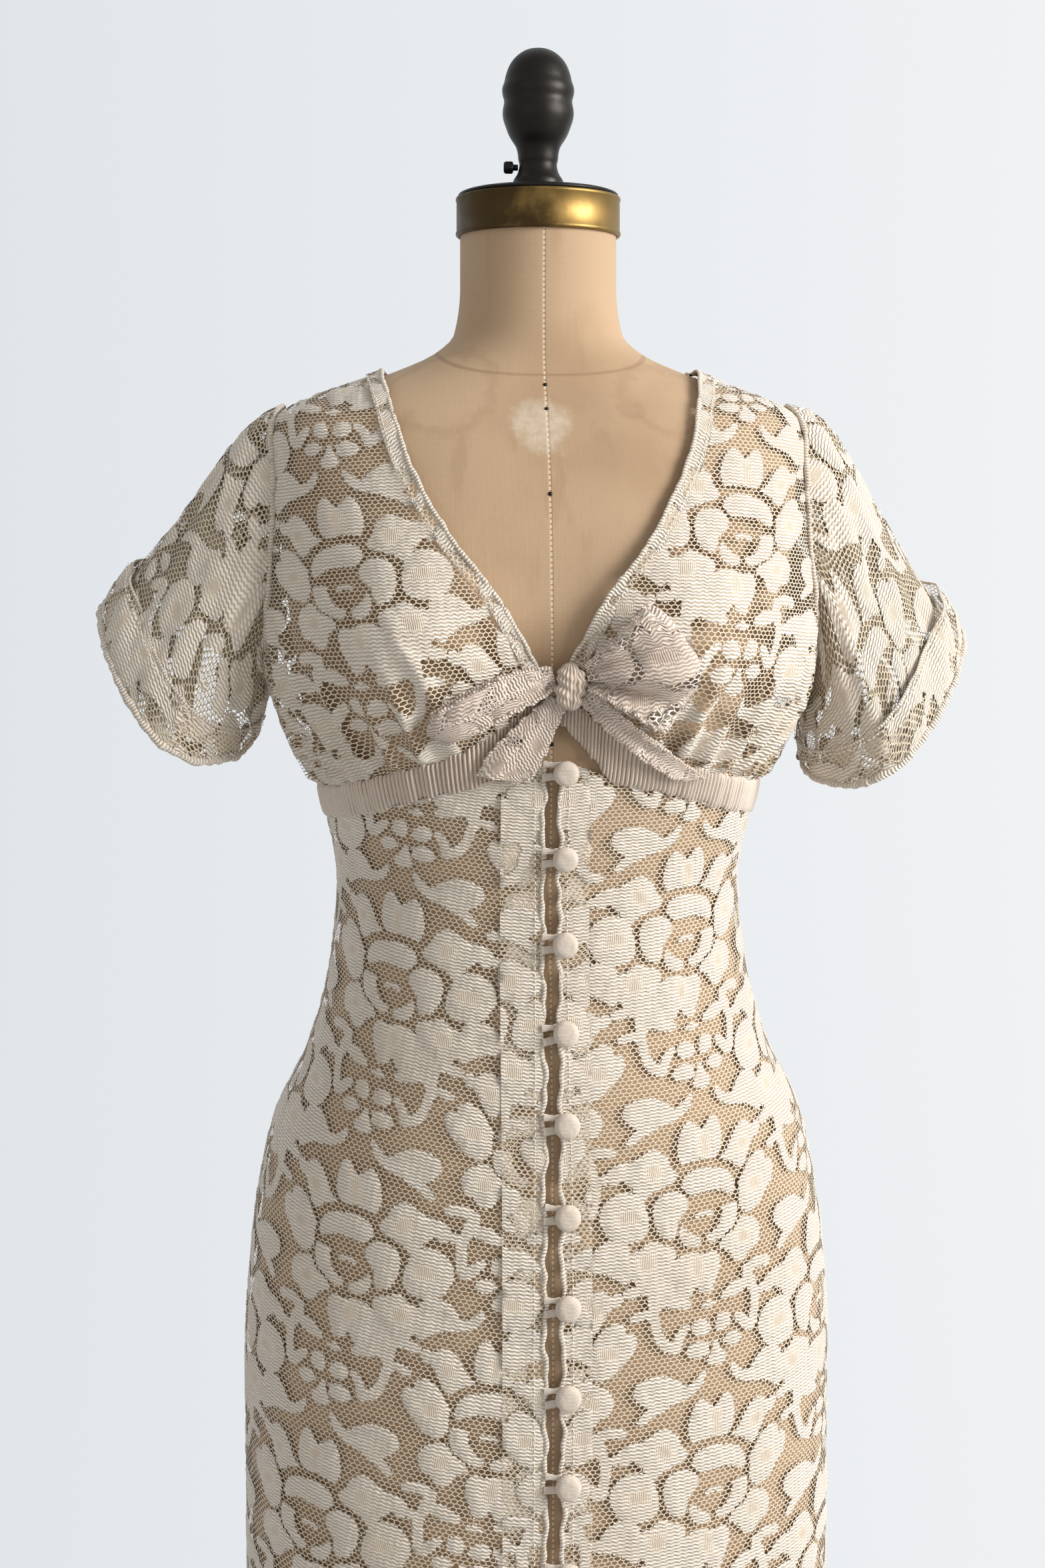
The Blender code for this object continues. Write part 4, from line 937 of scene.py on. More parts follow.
@dataclass(frozen=True)
class Cut:
    """A layer of lace on a panel, and the stretch of the cloth, in millimetres, that the panel needs."""

    panel: Panel
    layer: LaceLayer
    mesh: Mesh

    @property
    def spin(self) -> Array:
        """The turn from the cloth's grain to the panel's flat axes."""
        lean = math.radians(self.layer.lean)
        return np.array([[math.cos(lean), math.sin(lean)], [-math.sin(lean), math.cos(lean)]])

    def box(self) -> tuple[Array, Array]:
        """Returns the least and greatest of the cloth's coordinates that the panel needs."""
        left, right, low, high = self.panel.flat_box
        corners = np.array([(left, low), (right, low), (left, high), (right, high)]) - self.layer.origin
        cloth = corners @ self.spin.T / MM
        return cloth.min(axis=0), cloth.max(axis=0)

    def lay(
        self, cloth: Array, patches: Sequence[Array], finish: int, depth: Array | float,
        open_work: Array | None = None,
    ) -> None:
        """Carries patches of cloth onto the panel, cut off at its edges.

        Args:
            cloth: Their points, in millimetres.
            patches: The faces of each.
            finish: The material's index.
            depth: How far the points are above the layer's lower face.
            open_work: How open-worked the cloth is at each point.
        """
        panel = self.panel
        place, inside = panel.unlay(cloth * MM @ self.spin + self.layer.origin)
        patches = [faces[inside[faces].any(axis=1)] for faces in patches]
        patches = [faces[:, ::-1] if panel.facing < 0 else faces for faces in patches if len(faces)]
        if not patches:
            return
        used = np.unique(np.concatenate([faces.ravel() for faces in patches]))
        points = np.zeros((len(cloth), 3))
        out = np.broadcast_to(self.layer.height + depth, len(cloth))
        points[used] = panel.surface(place[used], out[used])
        for faces in patches:
            self.mesh.add(points, faces, cloth * MM, finish, open_work)


@dataclass
class LaceCloth:
    """Cuts panels out of the lace and lays them on the figure.

    Args:
        net_depth, motif_depth: How far the net and the clothwork's edges are above a layer's lower face.
        motif_lift: How much higher the clothwork's middle is.
    """

    net_depth: float = 0.00005
    motif_depth: float = 0.00035
    motif_lift: float = 0.00070

    def __post_init__(self) -> None:
        """Makes the pattern."""
        self.pattern = LacePattern()

    def lay(self, panel: Panel, layers: Sequence[LaceLayer], mesh: Mesh) -> None:
        """Lays layers of lace on a panel, and adds their net and clothwork to a mesh."""
        for layer in layers:
            cut = Cut(panel, layer, mesh)
            self._lay_net(cut)
            self._lay_motifs(cut)

    def _lay_net(self, cut: Cut) -> None:
        """Adds the hexagonal net between the motifs, each thread a narrow strip."""
        low, high = cut.box()
        columns = int((high[0] - low[0]) / NET_ACROSS) + 3
        rows = int((high[1] - low[1]) / NET_UP) + 5
        random = np.random.default_rng(columns * 1000 + rows)
        column, row = np.meshgrid(np.arange(columns), np.arange(rows))
        odd = row % 2
        first = np.floor(low / (NET_ACROSS, 2 * NET_UP)) * (NET_ACROSS, 2 * NET_UP)
        middle = np.stack([first[0] + (column + odd / 2) * NET_ACROSS, first[1] + row * NET_UP], axis=-1)
        tops, bottoms = (
            middle + (0, up) + random.uniform(-NET_UNEVENNESS, NET_UNEVENNESS, middle.shape)
            for up in (NET_UP * 2 / 3, -NET_UP * 2 / 3)
        )

        def pick(grid: Array, rise: int, shift: Array) -> Array:
            """Returns a grid's neighbours some rows up and columns over."""
            return grid[np.clip(row + rise, 0, rows - 1), np.clip(column + shift, 0, columns - 1)]

        # Each thread from a top knot: rows up, columns over, and the corners it joins at its two ends
        threads = (
            (2, 0 * odd, ((0, 0), (0, 2), (1, 0), (1, 2))),
            (1, odd - 1, ((1, 0), (0, 1), (0, 0), (1, 1))),
            (1, odd, ((0, 1), (1, 2), (1, 1), (0, 2))),
        )
        top_ends = [pick(bottoms, rise, shift) for rise, shift, _ in threads]
        bottom_ends = [pick(tops, -2, 0 * odd), pick(tops, -1, odd), pick(tops, -1, odd - 1)]
        joined = [self._joints(tops, top_ends), self._joints(bottoms, bottom_ends)]
        cloth = np.concatenate(joined).reshape(-1, 2)
        number = (np.arange(rows * columns) * 3).reshape(rows, columns)
        top, bottom = number, number + 3 * rows * columns
        inner = slice(2, rows - 2), slice(1, columns - 1)
        strips, ends = [], []
        for (rise, shift, corners), end in zip(threads, top_ends):
            knots = top, pick(bottom, rise, shift)
            strip = np.stack([knots[far] + corner for far, corner in corners], axis=-1)
            strips.append(strip[inner].reshape(-1, 4))
            ends.append(np.stack([tops, end], axis=2)[inner].reshape(-1, 2))
        hidden = self.pattern.covered(np.concatenate(ends)).reshape(-1, 2).all(axis=1)
        joints = np.concatenate([grid[inner].reshape(-1, 1) + np.arange(3) for grid in (top, bottom)])
        knots = np.concatenate([grid[inner].reshape(-1, 2) for grid in (tops, bottoms)])
        covered = self.pattern.covered(knots)
        patches = np.concatenate(strips)[~hidden], joints[~covered]
        cut.lay(cloth, patches, cut.layer.finish - 1, self.net_depth)

    @staticmethod
    def _joints(knots: Array, ends: list[Array]) -> Array:
        """Returns the three corners round each knot of the net, between its threads."""
        ways = [unit(end - knots) for end in ends]
        corners = []
        for here, there in zip(ways, ways[1:] + ways[:1]):
            total = here + there
            spread = np.linalg.norm(total, axis=-1) * np.linalg.norm(here - there, axis=-1)
            corners.append(knots + np.clip(THREAD * total / np.maximum(spread, 0.3)[..., None], -1, 1))
        return np.stack(corners, axis=2)

    def _lay_motifs(self, cut: Cut) -> None:
        """Adds the clothwork of every repeat that reaches the panel."""
        low, high = cut.box()
        pattern = self.pattern
        least, most = pattern.points.min(axis=0), pattern.points.max(axis=0)
        depth = self.motif_depth + self.motif_lift * pattern.lift

        def reach(axis: int, repeat: float, drop: float) -> range:
            """Returns the repeats along an axis that may reach the panel."""
            first = math.floor((low[axis] - most[axis] - drop) / repeat)
            return range(first, math.ceil((high[axis] - least[axis] - drop) / repeat) + 1)

        for column in reach(0, REPEAT_ACROSS, 0.0):
            drop = REPEAT_UP / 2 * column
            for row in reach(1, REPEAT_UP, drop):
                cloth = pattern.points + (column * REPEAT_ACROSS, drop + row * REPEAT_UP)
                if (cloth.max(axis=0) >= low).all() and (cloth.min(axis=0) <= high).all():
                    cut.lay(cloth, (pattern.faces,), cut.layer.finish, depth, pattern.open_work)


def hex_colour(code: str) -> Colour:
    """Returns a linear colour from an sRGB hex code such as "C9A88A"."""
    parts = [int(code[k : k + 2], 16) / 255 for k in (0, 2, 4)]
    linear = [part / 12.92 if part <= 0.04045 else ((part + 0.055) / 1.055) ** 2.4 for part in parts]
    return (*linear, 1.0)


@dataclass(frozen=True)
class Palette:
    """The colours of the real thing and its painted shades, as sRGB hex codes."""

    lace: Colour = hex_colour("F4EDE3")
    # The lace's painted shade between the cords, and the colour of its soiling
    lace_shade_and_soil: Colour = hex_colour("C8B8A2")
    # Darker than the lace: a painted shade for the thin threads' self-shadow
    net: Colour = hex_colour("D8CAB4")
    # The sleeves' inner layer: darker than the lace, a painted shade for the inside of the sleeve
    lining_in_painted_shade: Colour = hex_colour("A99B85")
    lining_shade: Colour = hex_colour("86765F")
    trim: Colour = hex_colour("ECDFD4")
    trim_shade: Colour = hex_colour("B8A392")
    ribbed: Colour = hex_colour("E0D3C6")
    ribbed_shade: Colour = hex_colour("A8937F")
    button: Colour = hex_colour("DACFC3")
    linen: Colour = hex_colour("B99E80")
    linen_shade: Colour = hex_colour("997C5E")
    # The stains' rings, and the painted shade along the form's seams
    stain_and_seam_shade: Colour = hex_colour("8F6E4E")
    splash: Colour = hex_colour("D8CFBC")
    seam_thread: Colour = hex_colour("E3D3B8")
    brass: Colour = hex_colour("8F7647")
    # The patina's colour, also the painted shade on the collar's side away from the window
    patina_and_side_shade: Colour = hex_colour("3A2E20")
    iron: Colour = hex_colour("2E2C2A")
    wall: Colour = hex_colour("DDE2E7")
    wall_bright: Colour = hex_colour("F0F2F4")
    room: Colour = hex_colour("B7B4B0")
    floor: Colour = hex_colour("D5D6D6")
    window: Colour = hex_colour("FFFCF8")
    fill: Colour = hex_colour("EEF1F6")


PALETTE = Palette()
# The kinds of node that the finishes use most
MATH, VECTOR, RANGE = "ShaderNodeMath", "ShaderNodeVectorMath", "ShaderNodeMapRange"
NOISE, MIX, BUMP = "ShaderNodeTexNoise", "ShaderNodeMix", "ShaderNodeBump"
SOFT = "SMOOTHSTEP"
# Units of the flat coordinates to a metre, and millimetres to a unit
FLAT_SCALE = 10.0
FLAT_TO_MM = 100.0


def add_node(
    tree: bpy.types.NodeTree, kind: str, inputs: dict | Sequence[Value] = (), **settings: str | bool
) -> Node:
    """Adds a node, and sets or links its inputs.

    Args:
        tree: The node tree.
        kind: The node's type.
        inputs: What feeds the inputs in use, in their order or by their names.
        settings: The node's own properties.

    Returns:
        The node.
    """
    made = tree.nodes.new(kind)
    for key, value in settings.items():
        setattr(made, key, value)
    used = [socket for socket in made.inputs if socket.enabled]
    for key, value in inputs.items() if isinstance(inputs, dict) else enumerate(inputs):
        feed(tree, next(socket for k, socket in enumerate(used) if key in (k, socket.name)), value)
    return made


def feed(tree: bpy.types.NodeTree, socket: Socket, value: Value) -> None:
    """Sets a socket, or links it to a socket or to a node's first output in use."""
    if isinstance(value, Node):
        value = next(output for output in value.outputs if output.enabled)
    if isinstance(value, Socket):
        tree.links.new(value, socket)
    else:
        socket.default_value = value


class Shading:
    """A material under way: its node tree, its Principled shader, and the coordinates its patterns read.

    Waves have a pitch in millimetres. A noise's scale is its lumps to a metre, so that 160 gives lumps about
    6 mm across.
    """

    def __init__(self, name: str, colour: Colour, roughness: float, **sockets: float) -> None:
        """Makes a material with its shader's plain values."""
        self.material = bpy.data.materials.new(name)
        self.material.use_nodes = True
        self.tree = self.material.node_tree
        self.add = partial(add_node, self.tree)
        self.here = self.add("ShaderNodeTexCoord").outputs["Object"]
        self.set(base_color=colour, roughness=roughness, **sockets)

    def set(self, **sockets: Value) -> None:
        """Sets or feeds the shader's sockets."""
        for name, value in sockets.items():
            feed(self.tree, self.tree.nodes["Principled BSDF"].inputs[name.replace("_", " ").title()], value)

    def flat(self, name: str) -> Sequence[Socket]:
        """Returns the across and up parts of a set of flat coordinates."""
        chart = self.add("ShaderNodeUVMap", uv_map=name)
        return self.add("ShaderNodeSeparateXYZ", (chart,)).outputs[:2]

    def cloth(self) -> list[Node]:
        """Returns the cloth's own across and up coordinates, in millimetres."""
        return [self.add(MATH, (part, FLAT_TO_MM), operation="MULTIPLY") for part in self.flat("Cloth")]

    def wave(self, along: Node, pitch: float) -> Node:
        """Returns a wave from 0 to 1 with a pitch in the coordinate's units."""
        turns = self.add(MATH, (along, 2 * math.pi / pitch), operation="MULTIPLY")
        sine = self.add(MATH, (turns,), operation="SINE")
        return self.add(MATH, (sine, 0.5, 0.5), operation="MULTIPLY_ADD")


@dataclass(frozen=True)
class Clothwork:
    """Cotton clothwork of machine lace: wavy crosswise cords, with thinner upright threads where open-worked.

    The cords catch the window's light along their tops through the bump, and the colour between them is
    darkened, a painted shade, so the motifs read as raised, and soiling dulls them in broad uneven places.

    Args:
        name: The material's name.
        light, shade: Its colours on the cords, and the painted shade between them.
        cord, thread: The pitch of the cords and of the open work's threads, in millimetres.
        sway: The pitch of the cords' waves, in millimetres.
        thinness: How high the open work's threads are, as a share of the cords.
    """

    name: str
    light: Colour
    shade: Colour
    cord: float = 2.05
    thread: float = 1.1
    sway: float = 4.1
    thinness: float = 0.35

    def make(self) -> Material:
        """Returns the material."""
        work = Shading(self.name, self.light, 0.82, sheen_weight=0.25)
        add, (across, up) = work.add, work.cloth()
        fine = add(NOISE, {"Vector": work.here, "Scale": 160.0, "Detail": 2.0})
        wander = add(MATH, (fine, 1.6), operation="MULTIPLY")
        sway = add(MATH, (work.wave(across, self.sway), 0.45), operation="MULTIPLY")
        swayed = add(MATH, (up, sway), operation="ADD")
        cords = work.wave(add(MATH, (swayed, wander), operation="ADD"), self.cord)
        threads = work.wave(add(MATH, (across, wander), operation="ADD"), self.thread)
        open_work = add("ShaderNodeAttribute", attribute_name="open_work").outputs["Fac"]
        solid = add(MATH, (1.0, open_work), operation="SUBTRACT")
        plain = add(MATH, (cords, solid), operation="MULTIPLY")
        thinner = add(MATH, (open_work, self.thinness), operation="MULTIPLY")
        thin = add(MATH, (threads, thinner), operation="MULTIPLY")
        height = add(MATH, (plain, thin), operation="ADD")
        # Painted shade: the colour darkens between the cords' tops; it is also darker where open-worked
        between = add(RANGE, (height, 0.62, 0.0), interpolation_type=SOFT)
        painted_valley_shade = add(MATH, (between, thinner), operation="MAXIMUM")
        colour = add(MIX, (painted_valley_shade, self.light, self.shade), data_type="RGBA")
        broad = add(NOISE, {"Vector": work.here, "Scale": 14.0, "Detail": 4.0})
        patches = add(RANGE, (broad, 0.40, 0.80), interpolation_type=SOFT)
        soiled = add(MATH, (patches, 0.25), operation="MULTIPLY")
        lumps = add(NOISE, {"Vector": work.here, "Scale": 85.0, "Detail": 2.0})
        crumple = add(MATH, (lumps, 2.6), operation="MULTIPLY")
        relief = add(MATH, (height, crumple), operation="ADD")
        work.set(
            base_color=add(MIX, (soiled, colour, PALETTE.lace_shade_and_soil), data_type="RGBA"),
            normal=add(BUMP, {"Height": relief, "Strength": 0.9, "Distance": 0.0009}),
        )
        return work.material


@dataclass(frozen=True)
class Ribs:
    """Cotton ribbon drawn up in close upright ribs, with fine crosswise threads.

    The ribs' valleys are darkened as painted shade, setting the band and knot off from the lace round them.

    Args:
        name: The material's name.
        light, shade: Its colours on the ribs, and the painted shade between them.
        thread: The pitch of the crosswise threads, in millimetres.
    """

    name: str
    light: Colour
    shade: Colour
    thread: float = 0.9

    def make(self) -> Material:
        """Returns the material."""
        work = Shading(self.name, self.light, 0.85, sheen_weight=0.2)
        add, (across, up) = work.add, work.cloth()
        fine = add(NOISE, {"Vector": work.here, "Scale": 90.0, "Detail": 2.0})
        wander = add(MATH, (fine, 0.9, RIB / MM / 4), operation="MULTIPLY_ADD")
        ribs = work.wave(add(MATH, (across, wander), operation="ADD"), RIB / MM)
        threads = add(MATH, (work.wave(up, self.thread), 0.25), operation="MULTIPLY")
        relief = add(MATH, (ribs, threads), operation="ADD")
        # Painted shade: the colour darkens in the valleys between the ribs
        painted_valley_shade = add(RANGE, (ribs, 0.75, 0.05), interpolation_type=SOFT)
        work.set(
            base_color=add(MIX, (painted_valley_shade, self.light, self.shade), data_type="RGBA"),
            normal=add(BUMP, {"Height": relief, "Strength": 0.9, "Distance": 0.0005}),
        )
        return work.material


@dataclass(frozen=True)
class Yarn:
    """Twisted cotton thread of the net and the sewing, whose fine twist keeps it from shining."""

    name: str
    colour: Colour

    def make(self) -> Material:
        """Returns the material."""
        thread = Shading(self.name, self.colour, 0.75, sheen_weight=0.2)
        twist = thread.add(NOISE, {"Vector": thread.here, "Scale": 1800.0, "Detail": 2.0})
        thread.set(normal=thread.add(BUMP, {"Height": twist, "Strength": 0.4, "Distance": 0.0002}))
        return thread.material


@dataclass(frozen=True)
class CoveredCloth:
    """Fine ribbed cotton stretched over a button mould or sewn into a loop, soiled by handling.

    Args:
        name: The material's name.
        colour: Its colour where it is clean.
        rib: The pitch of its ribs, in millimetres.
    """

    name: str
    colour: Colour
    rib: float = 0.75

    def make(self) -> Material:
        """Returns the material."""
        cloth = Shading(self.name, self.colour, 0.95)
        add = cloth.add
        level = add("ShaderNodeSeparateXYZ", (cloth.here,)).outputs["Z"]
        ribs = cloth.wave(add(MATH, (level, 1 / MM), operation="MULTIPLY"), self.rib)
        handled = add(NOISE, {"Vector": cloth.here, "Scale": 220.0, "Detail": 3.0})
        patches = add(RANGE, (handled, 0.4, 0.8), interpolation_type=SOFT)
        soiled = add(MATH, (patches, 0.5), operation="MULTIPLY")
        lumps = add(NOISE, {"Vector": cloth.here, "Scale": 330.0, "Detail": 3.0})
        rough = add(MATH, (lumps, 3.0), operation="MULTIPLY")
        relief = add(MATH, (ribs, rough), operation="ADD")
        cloth.set(
            base_color=add(MIX, (soiled, self.colour, PALETTE.lace_shade_and_soil), data_type="RGBA"),
            normal=add(BUMP, {"Height": relief, "Strength": 0.7, "Distance": 0.0003}),
        )
        return cloth.material


@dataclass(frozen=True)
class Linen:
    """Aged tan linen on the form: plain weave, seams with pale stitches and painted shade, streaks and
    stains.

    Args:
        weave: The weave's pitch, in millimetres.
        stitch: The pitch of the centre seam's stitches, in millimetres.
        blot: The middle of the pale blot, in metres.
        blot_edge: How far from its middle the blot ends and where it is full.
        rings: The middle and radius of each stain's ring.
    """

    weave: float = 0.9
    stitch: float = 3.2
    blot: tuple[float, float, float] = (-0.004, -0.074, 1.342)
    blot_edge: tuple[float, float] = (0.023, 0.011)
    rings: tuple[tuple[tuple[float, float, float], float], ...] = (
        ((-0.064, -0.05, 1.360), 0.034),
        ((0.075, -0.05, 1.355), 0.030),
    )

    def make(self) -> Material:
        """Returns the material."""
        linen = Shading("form_linen", PALETTE.linen, 0.88, sheen_weight=0.1)
        add, (across, up) = linen.add, linen.cloth()
        weave = add(MATH, (linen.wave(across, self.weave), linen.wave(up, self.weave)), operation="ADD")
        woven = add(MATH, (weave, 0.5), operation="MULTIPLY")
        slubs = add(NOISE, {"Vector": linen.here, "Scale": 240.0, "Detail": 3.0})
        height = add(MATH, (woven, slubs), operation="ADD")
        centre, neck = (self._seam(linen, far) for far in linen.flat("Seams"))
        seam = add(MATH, (centre, neck), operation="MAXIMUM")
        sewn = add(RANGE, (centre, 0.55, 0.85), interpolation_type=SOFT)
        spaced = add(RANGE, (linen.wave(up, self.stitch), 0.15, 0.4), interpolation_type=SOFT)
        tall = add(VECTOR, (linen.here, (1.0, 1.0, 0.12)), operation="MULTIPLY")
        drips = add(NOISE, {"Vector": tall, "Scale": 55.0, "Detail": 3.0})
        broad = add(NOISE, {"Vector": linen.here, "Scale": 9.0, "Detail": 5.0})
        colour = PALETTE.linen
        for part, amount, tone in (
            (add(RANGE, (broad, 0.42, 0.72), interpolation_type=SOFT), 0.55, PALETTE.linen_shade),
            (add(RANGE, (drips, 0.56, 0.72), interpolation_type=SOFT), 0.30, PALETTE.linen_shade),
            # Painted shade: the seams are darkened along their grooves
            (seam, 0.45, PALETTE.stain_and_seam_shade),
            (add(MATH, (sewn, spaced), operation="MULTIPLY"), 0.8, PALETTE.seam_thread),
            *self._stains(linen),
        ):
            share = add(MATH, (part, amount), operation="MULTIPLY")
            colour = add(MIX, (share, colour, tone), data_type="RGBA")
        sunk = add(MATH, (seam, 3.0), operation="MULTIPLY")
        relief = add(MATH, (height, sunk), operation="SUBTRACT")
        bumpy = add(BUMP, {"Height": relief, "Strength": 0.35, "Distance": 0.0003})
        linen.set(base_color=colour, normal=bumpy)
        return linen.material

    @staticmethod
    def _seam(linen: Shading, far: Socket) -> Node:
        """Returns where a seam is, from the coordinate that is 0 along it."""
        away = linen.add(MATH, (far,), operation="ABSOLUTE")
        away = linen.add(MATH, (away, FLAT_TO_MM), operation="MULTIPLY")
        return linen.add(RANGE, (away, 1.3, 0.2), interpolation_type=SOFT)

    def _stains(self, linen: Shading) -> list[tuple[Node, float, Colour]]:
        """Returns the pale blot and the stains' rings, each with its strength and its colour."""
        add = linen.add
        uneven_edge = add(NOISE, {"Vector": linen.here, "Scale": 60.0, "Detail": 5.0, "Roughness": 0.65})
        wobble = add(MATH, (uneven_edge, 0.030, -0.015), operation="MULTIPLY_ADD")
        reached = []
        for spot in (self.blot, *(spot for spot, _ in self.rings)):
            shift = add(VECTOR, (linen.here, spot), operation="SUBTRACT")
            length = add(VECTOR, (shift,), operation="LENGTH")
            reached.append(add(MATH, (length, wobble), operation="ADD"))
        specks = add(NOISE, {"Vector": linen.here, "Scale": 170.0, "Detail": 5.0, "Roughness": 0.7})
        specks = add(RANGE, (specks, 0.25, 0.70), interpolation_type=SOFT)
        mottle = add(MATH, (specks, 0.6, 0.3), operation="MULTIPLY_ADD")
        blot = add(RANGE, (reached[0], *self.blot_edge), interpolation_type=SOFT)
        made = [(add(MATH, (blot, mottle), operation="MULTIPLY"), 0.65, PALETTE.splash)]
        for reach, (_, radius) in zip(reached[1:], self.rings):
            away = add(MATH, (reach, radius), operation="SUBTRACT")
            away = add(MATH, (away,), operation="ABSOLUTE")
            ring = add(RANGE, (away, 0.006, 0.0005), interpolation_type=SOFT)
            made.append((ring, 0.195, PALETTE.stain_and_seam_shade))
        return made


class Brass:
    """Old brass, lacquer gone: warm where handled, with dark patina in clouds, and painted shade towards -X.
    """

    @staticmethod
    def make() -> Material:
        """Returns the material."""
        brass = Shading("aged_brass", PALETTE.brass, 0.42, metallic=1.0)
        add = brass.add
        sideways = add("ShaderNodeSeparateXYZ", (brass.here,)).outputs["X"]
        # Painted shade: the patina's colour spreads further towards -X, the side away from the window
        painted_shade_towards_minus_x = add(MATH, (sideways, -4.5, 0.02), operation="MULTIPLY_ADD")
        clouds = add(NOISE, {"Vector": brass.here, "Scale": 26.0, "Detail": 6.0, "Roughness": 0.62})
        darker = add(MATH, (clouds, painted_shade_towards_minus_x), operation="ADD")
        patina_and_side_shade = add(RANGE, (darker, 0.38, 0.66), interpolation_type=SOFT)
        covered = add(MATH, (patina_and_side_shade, 0.85), operation="MULTIPLY")
        wear = add(NOISE, {"Vector": brass.here, "Scale": 90.0, "Detail": 4.0})
        pits = add(NOISE, {"Vector": brass.here, "Scale": 420.0, "Detail": 4.0})
        brass.set(
            base_color=add(MIX, (covered, PALETTE.brass, PALETTE.patina_and_side_shade), data_type="RGBA"),
            roughness=add(MATH, (wear, 0.35, 0.28), operation="MULTIPLY_ADD"),
            normal=add(BUMP, {"Height": pits, "Strength": 0.15, "Distance": 0.0003}),
        )
        return brass.material


class Iron:
    """Blackened cast iron, rubbed to a soft sheen with an uneven, faintly grained face."""

    @staticmethod
    def make() -> Material:
        """Returns the material."""
        iron = Shading("blackened_iron", PALETTE.iron, 0.42, metallic=0.85)
        wear = iron.add(NOISE, {"Vector": iron.here, "Scale": 60.0, "Detail": 5.0})
        grain = iron.add(NOISE, {"Vector": iron.here, "Scale": 300.0, "Detail": 5.0, "Roughness": 0.65})
        iron.set(
            roughness=iron.add(MATH, (wear, 0.35, 0.26), operation="MULTIPLY_ADD"),
            normal=iron.add(BUMP, {"Height": grain, "Strength": 0.25, "Distance": 0.0004}),
        )
        return iron.material


class Finishes:
    """Every material of the dress and its form."""

    def __init__(self) -> None:
        """Makes the materials."""
        self.lace = Clothwork("cotton_lace", PALETTE.lace, PALETTE.lace_shade_and_soil).make()
        self.net = Yarn("cotton_net", PALETTE.net).make()
        # The sleeves' inner layer, in darker colours as a painted shade
        self.lining_in_painted_shade = Clothwork("cotton_lace_lining", PALETTE.lining_in_painted_shade, PALETTE.lining_shade).make()
        self.lining_net_in_painted_shade = Yarn("cotton_net_lining", PALETTE.lining_in_painted_shade).make()
        self.trim = Clothwork("cotton_lace_trim", PALETTE.trim, PALETTE.trim_shade).make()
        self.trim_net = Yarn("cotton_net_trim", PALETTE.trim).make()
        self.ribbed = Ribs("ribbed_cotton_lace", PALETTE.ribbed, PALETTE.ribbed_shade).make()
        self.thread = Yarn("sewing_thread", PALETTE.lace).make()
        self.button = CoveredCloth("button_cloth", PALETTE.button).make()
        self.linen = Linen().make()
        self.brass = Brass.make()
        self.iron = Iron.make()


def turned(name: str, rings: Array, finish: Material, soft: bool = True) -> Piece:
    """Makes a turned piece from rings of points, closed where a ring has no width.

    Args:
        name: The piece's name.
        rings: The points of each ring.
        finish: Its material.
        soft: Whether it is smoothly shaded.

    Returns:
        The piece.
    """
    bm = bmesh.new()
    made = [[bm.verts.new(point) for point in ring] for ring in rings]
    for upper, lower in zip(made, made[1:]):
        for k, after in enumerate([*range(1, len(upper)), 0]):
            bm.faces.new((upper[k], lower[k], lower[after], upper[after]))
    bmesh.ops.remove_doubles(bm, verts=bm.verts, dist=1e-6)
    bmesh.ops.dissolve_degenerate(bm, dist=1e-7, edges=bm.edges)
    bmesh.ops.recalc_face_normals(bm, faces=bm.faces)
    mesh = bpy.data.meshes.new(name)
    bm.to_mesh(mesh)
    bm.free()
    if soft:
        mesh.shade_smooth()
    mesh.materials.append(finish)
    return link(name, mesh)


def lathe(name: str, profile: Sequence[tuple[float, float]], steps: int, finish: Material) -> Piece:
    """Returns a turned piece from its (radius, height) points, top to bottom, with so many sides."""
    turn = np.linspace(0, 2 * np.pi, steps, endpoint=False)
    radius, height = np.array(profile).T[..., None]
    rings = np.stack([radius * np.cos(turn), radius * np.sin(turn), height + 0 * turn], axis=-1)
    return turned(name, rings, finish)


def settle(piece: Piece, slot: str, body: str, *nodes: str) -> Piece:
    """Hides the nodes that a piece stands for, and puts it on the body that it rides on."""
    if nodes:
        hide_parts(*nodes)
    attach(piece, body)
    LOG.info("%s: %d faces", piece.name, len(piece.data.polygons))
    return piece


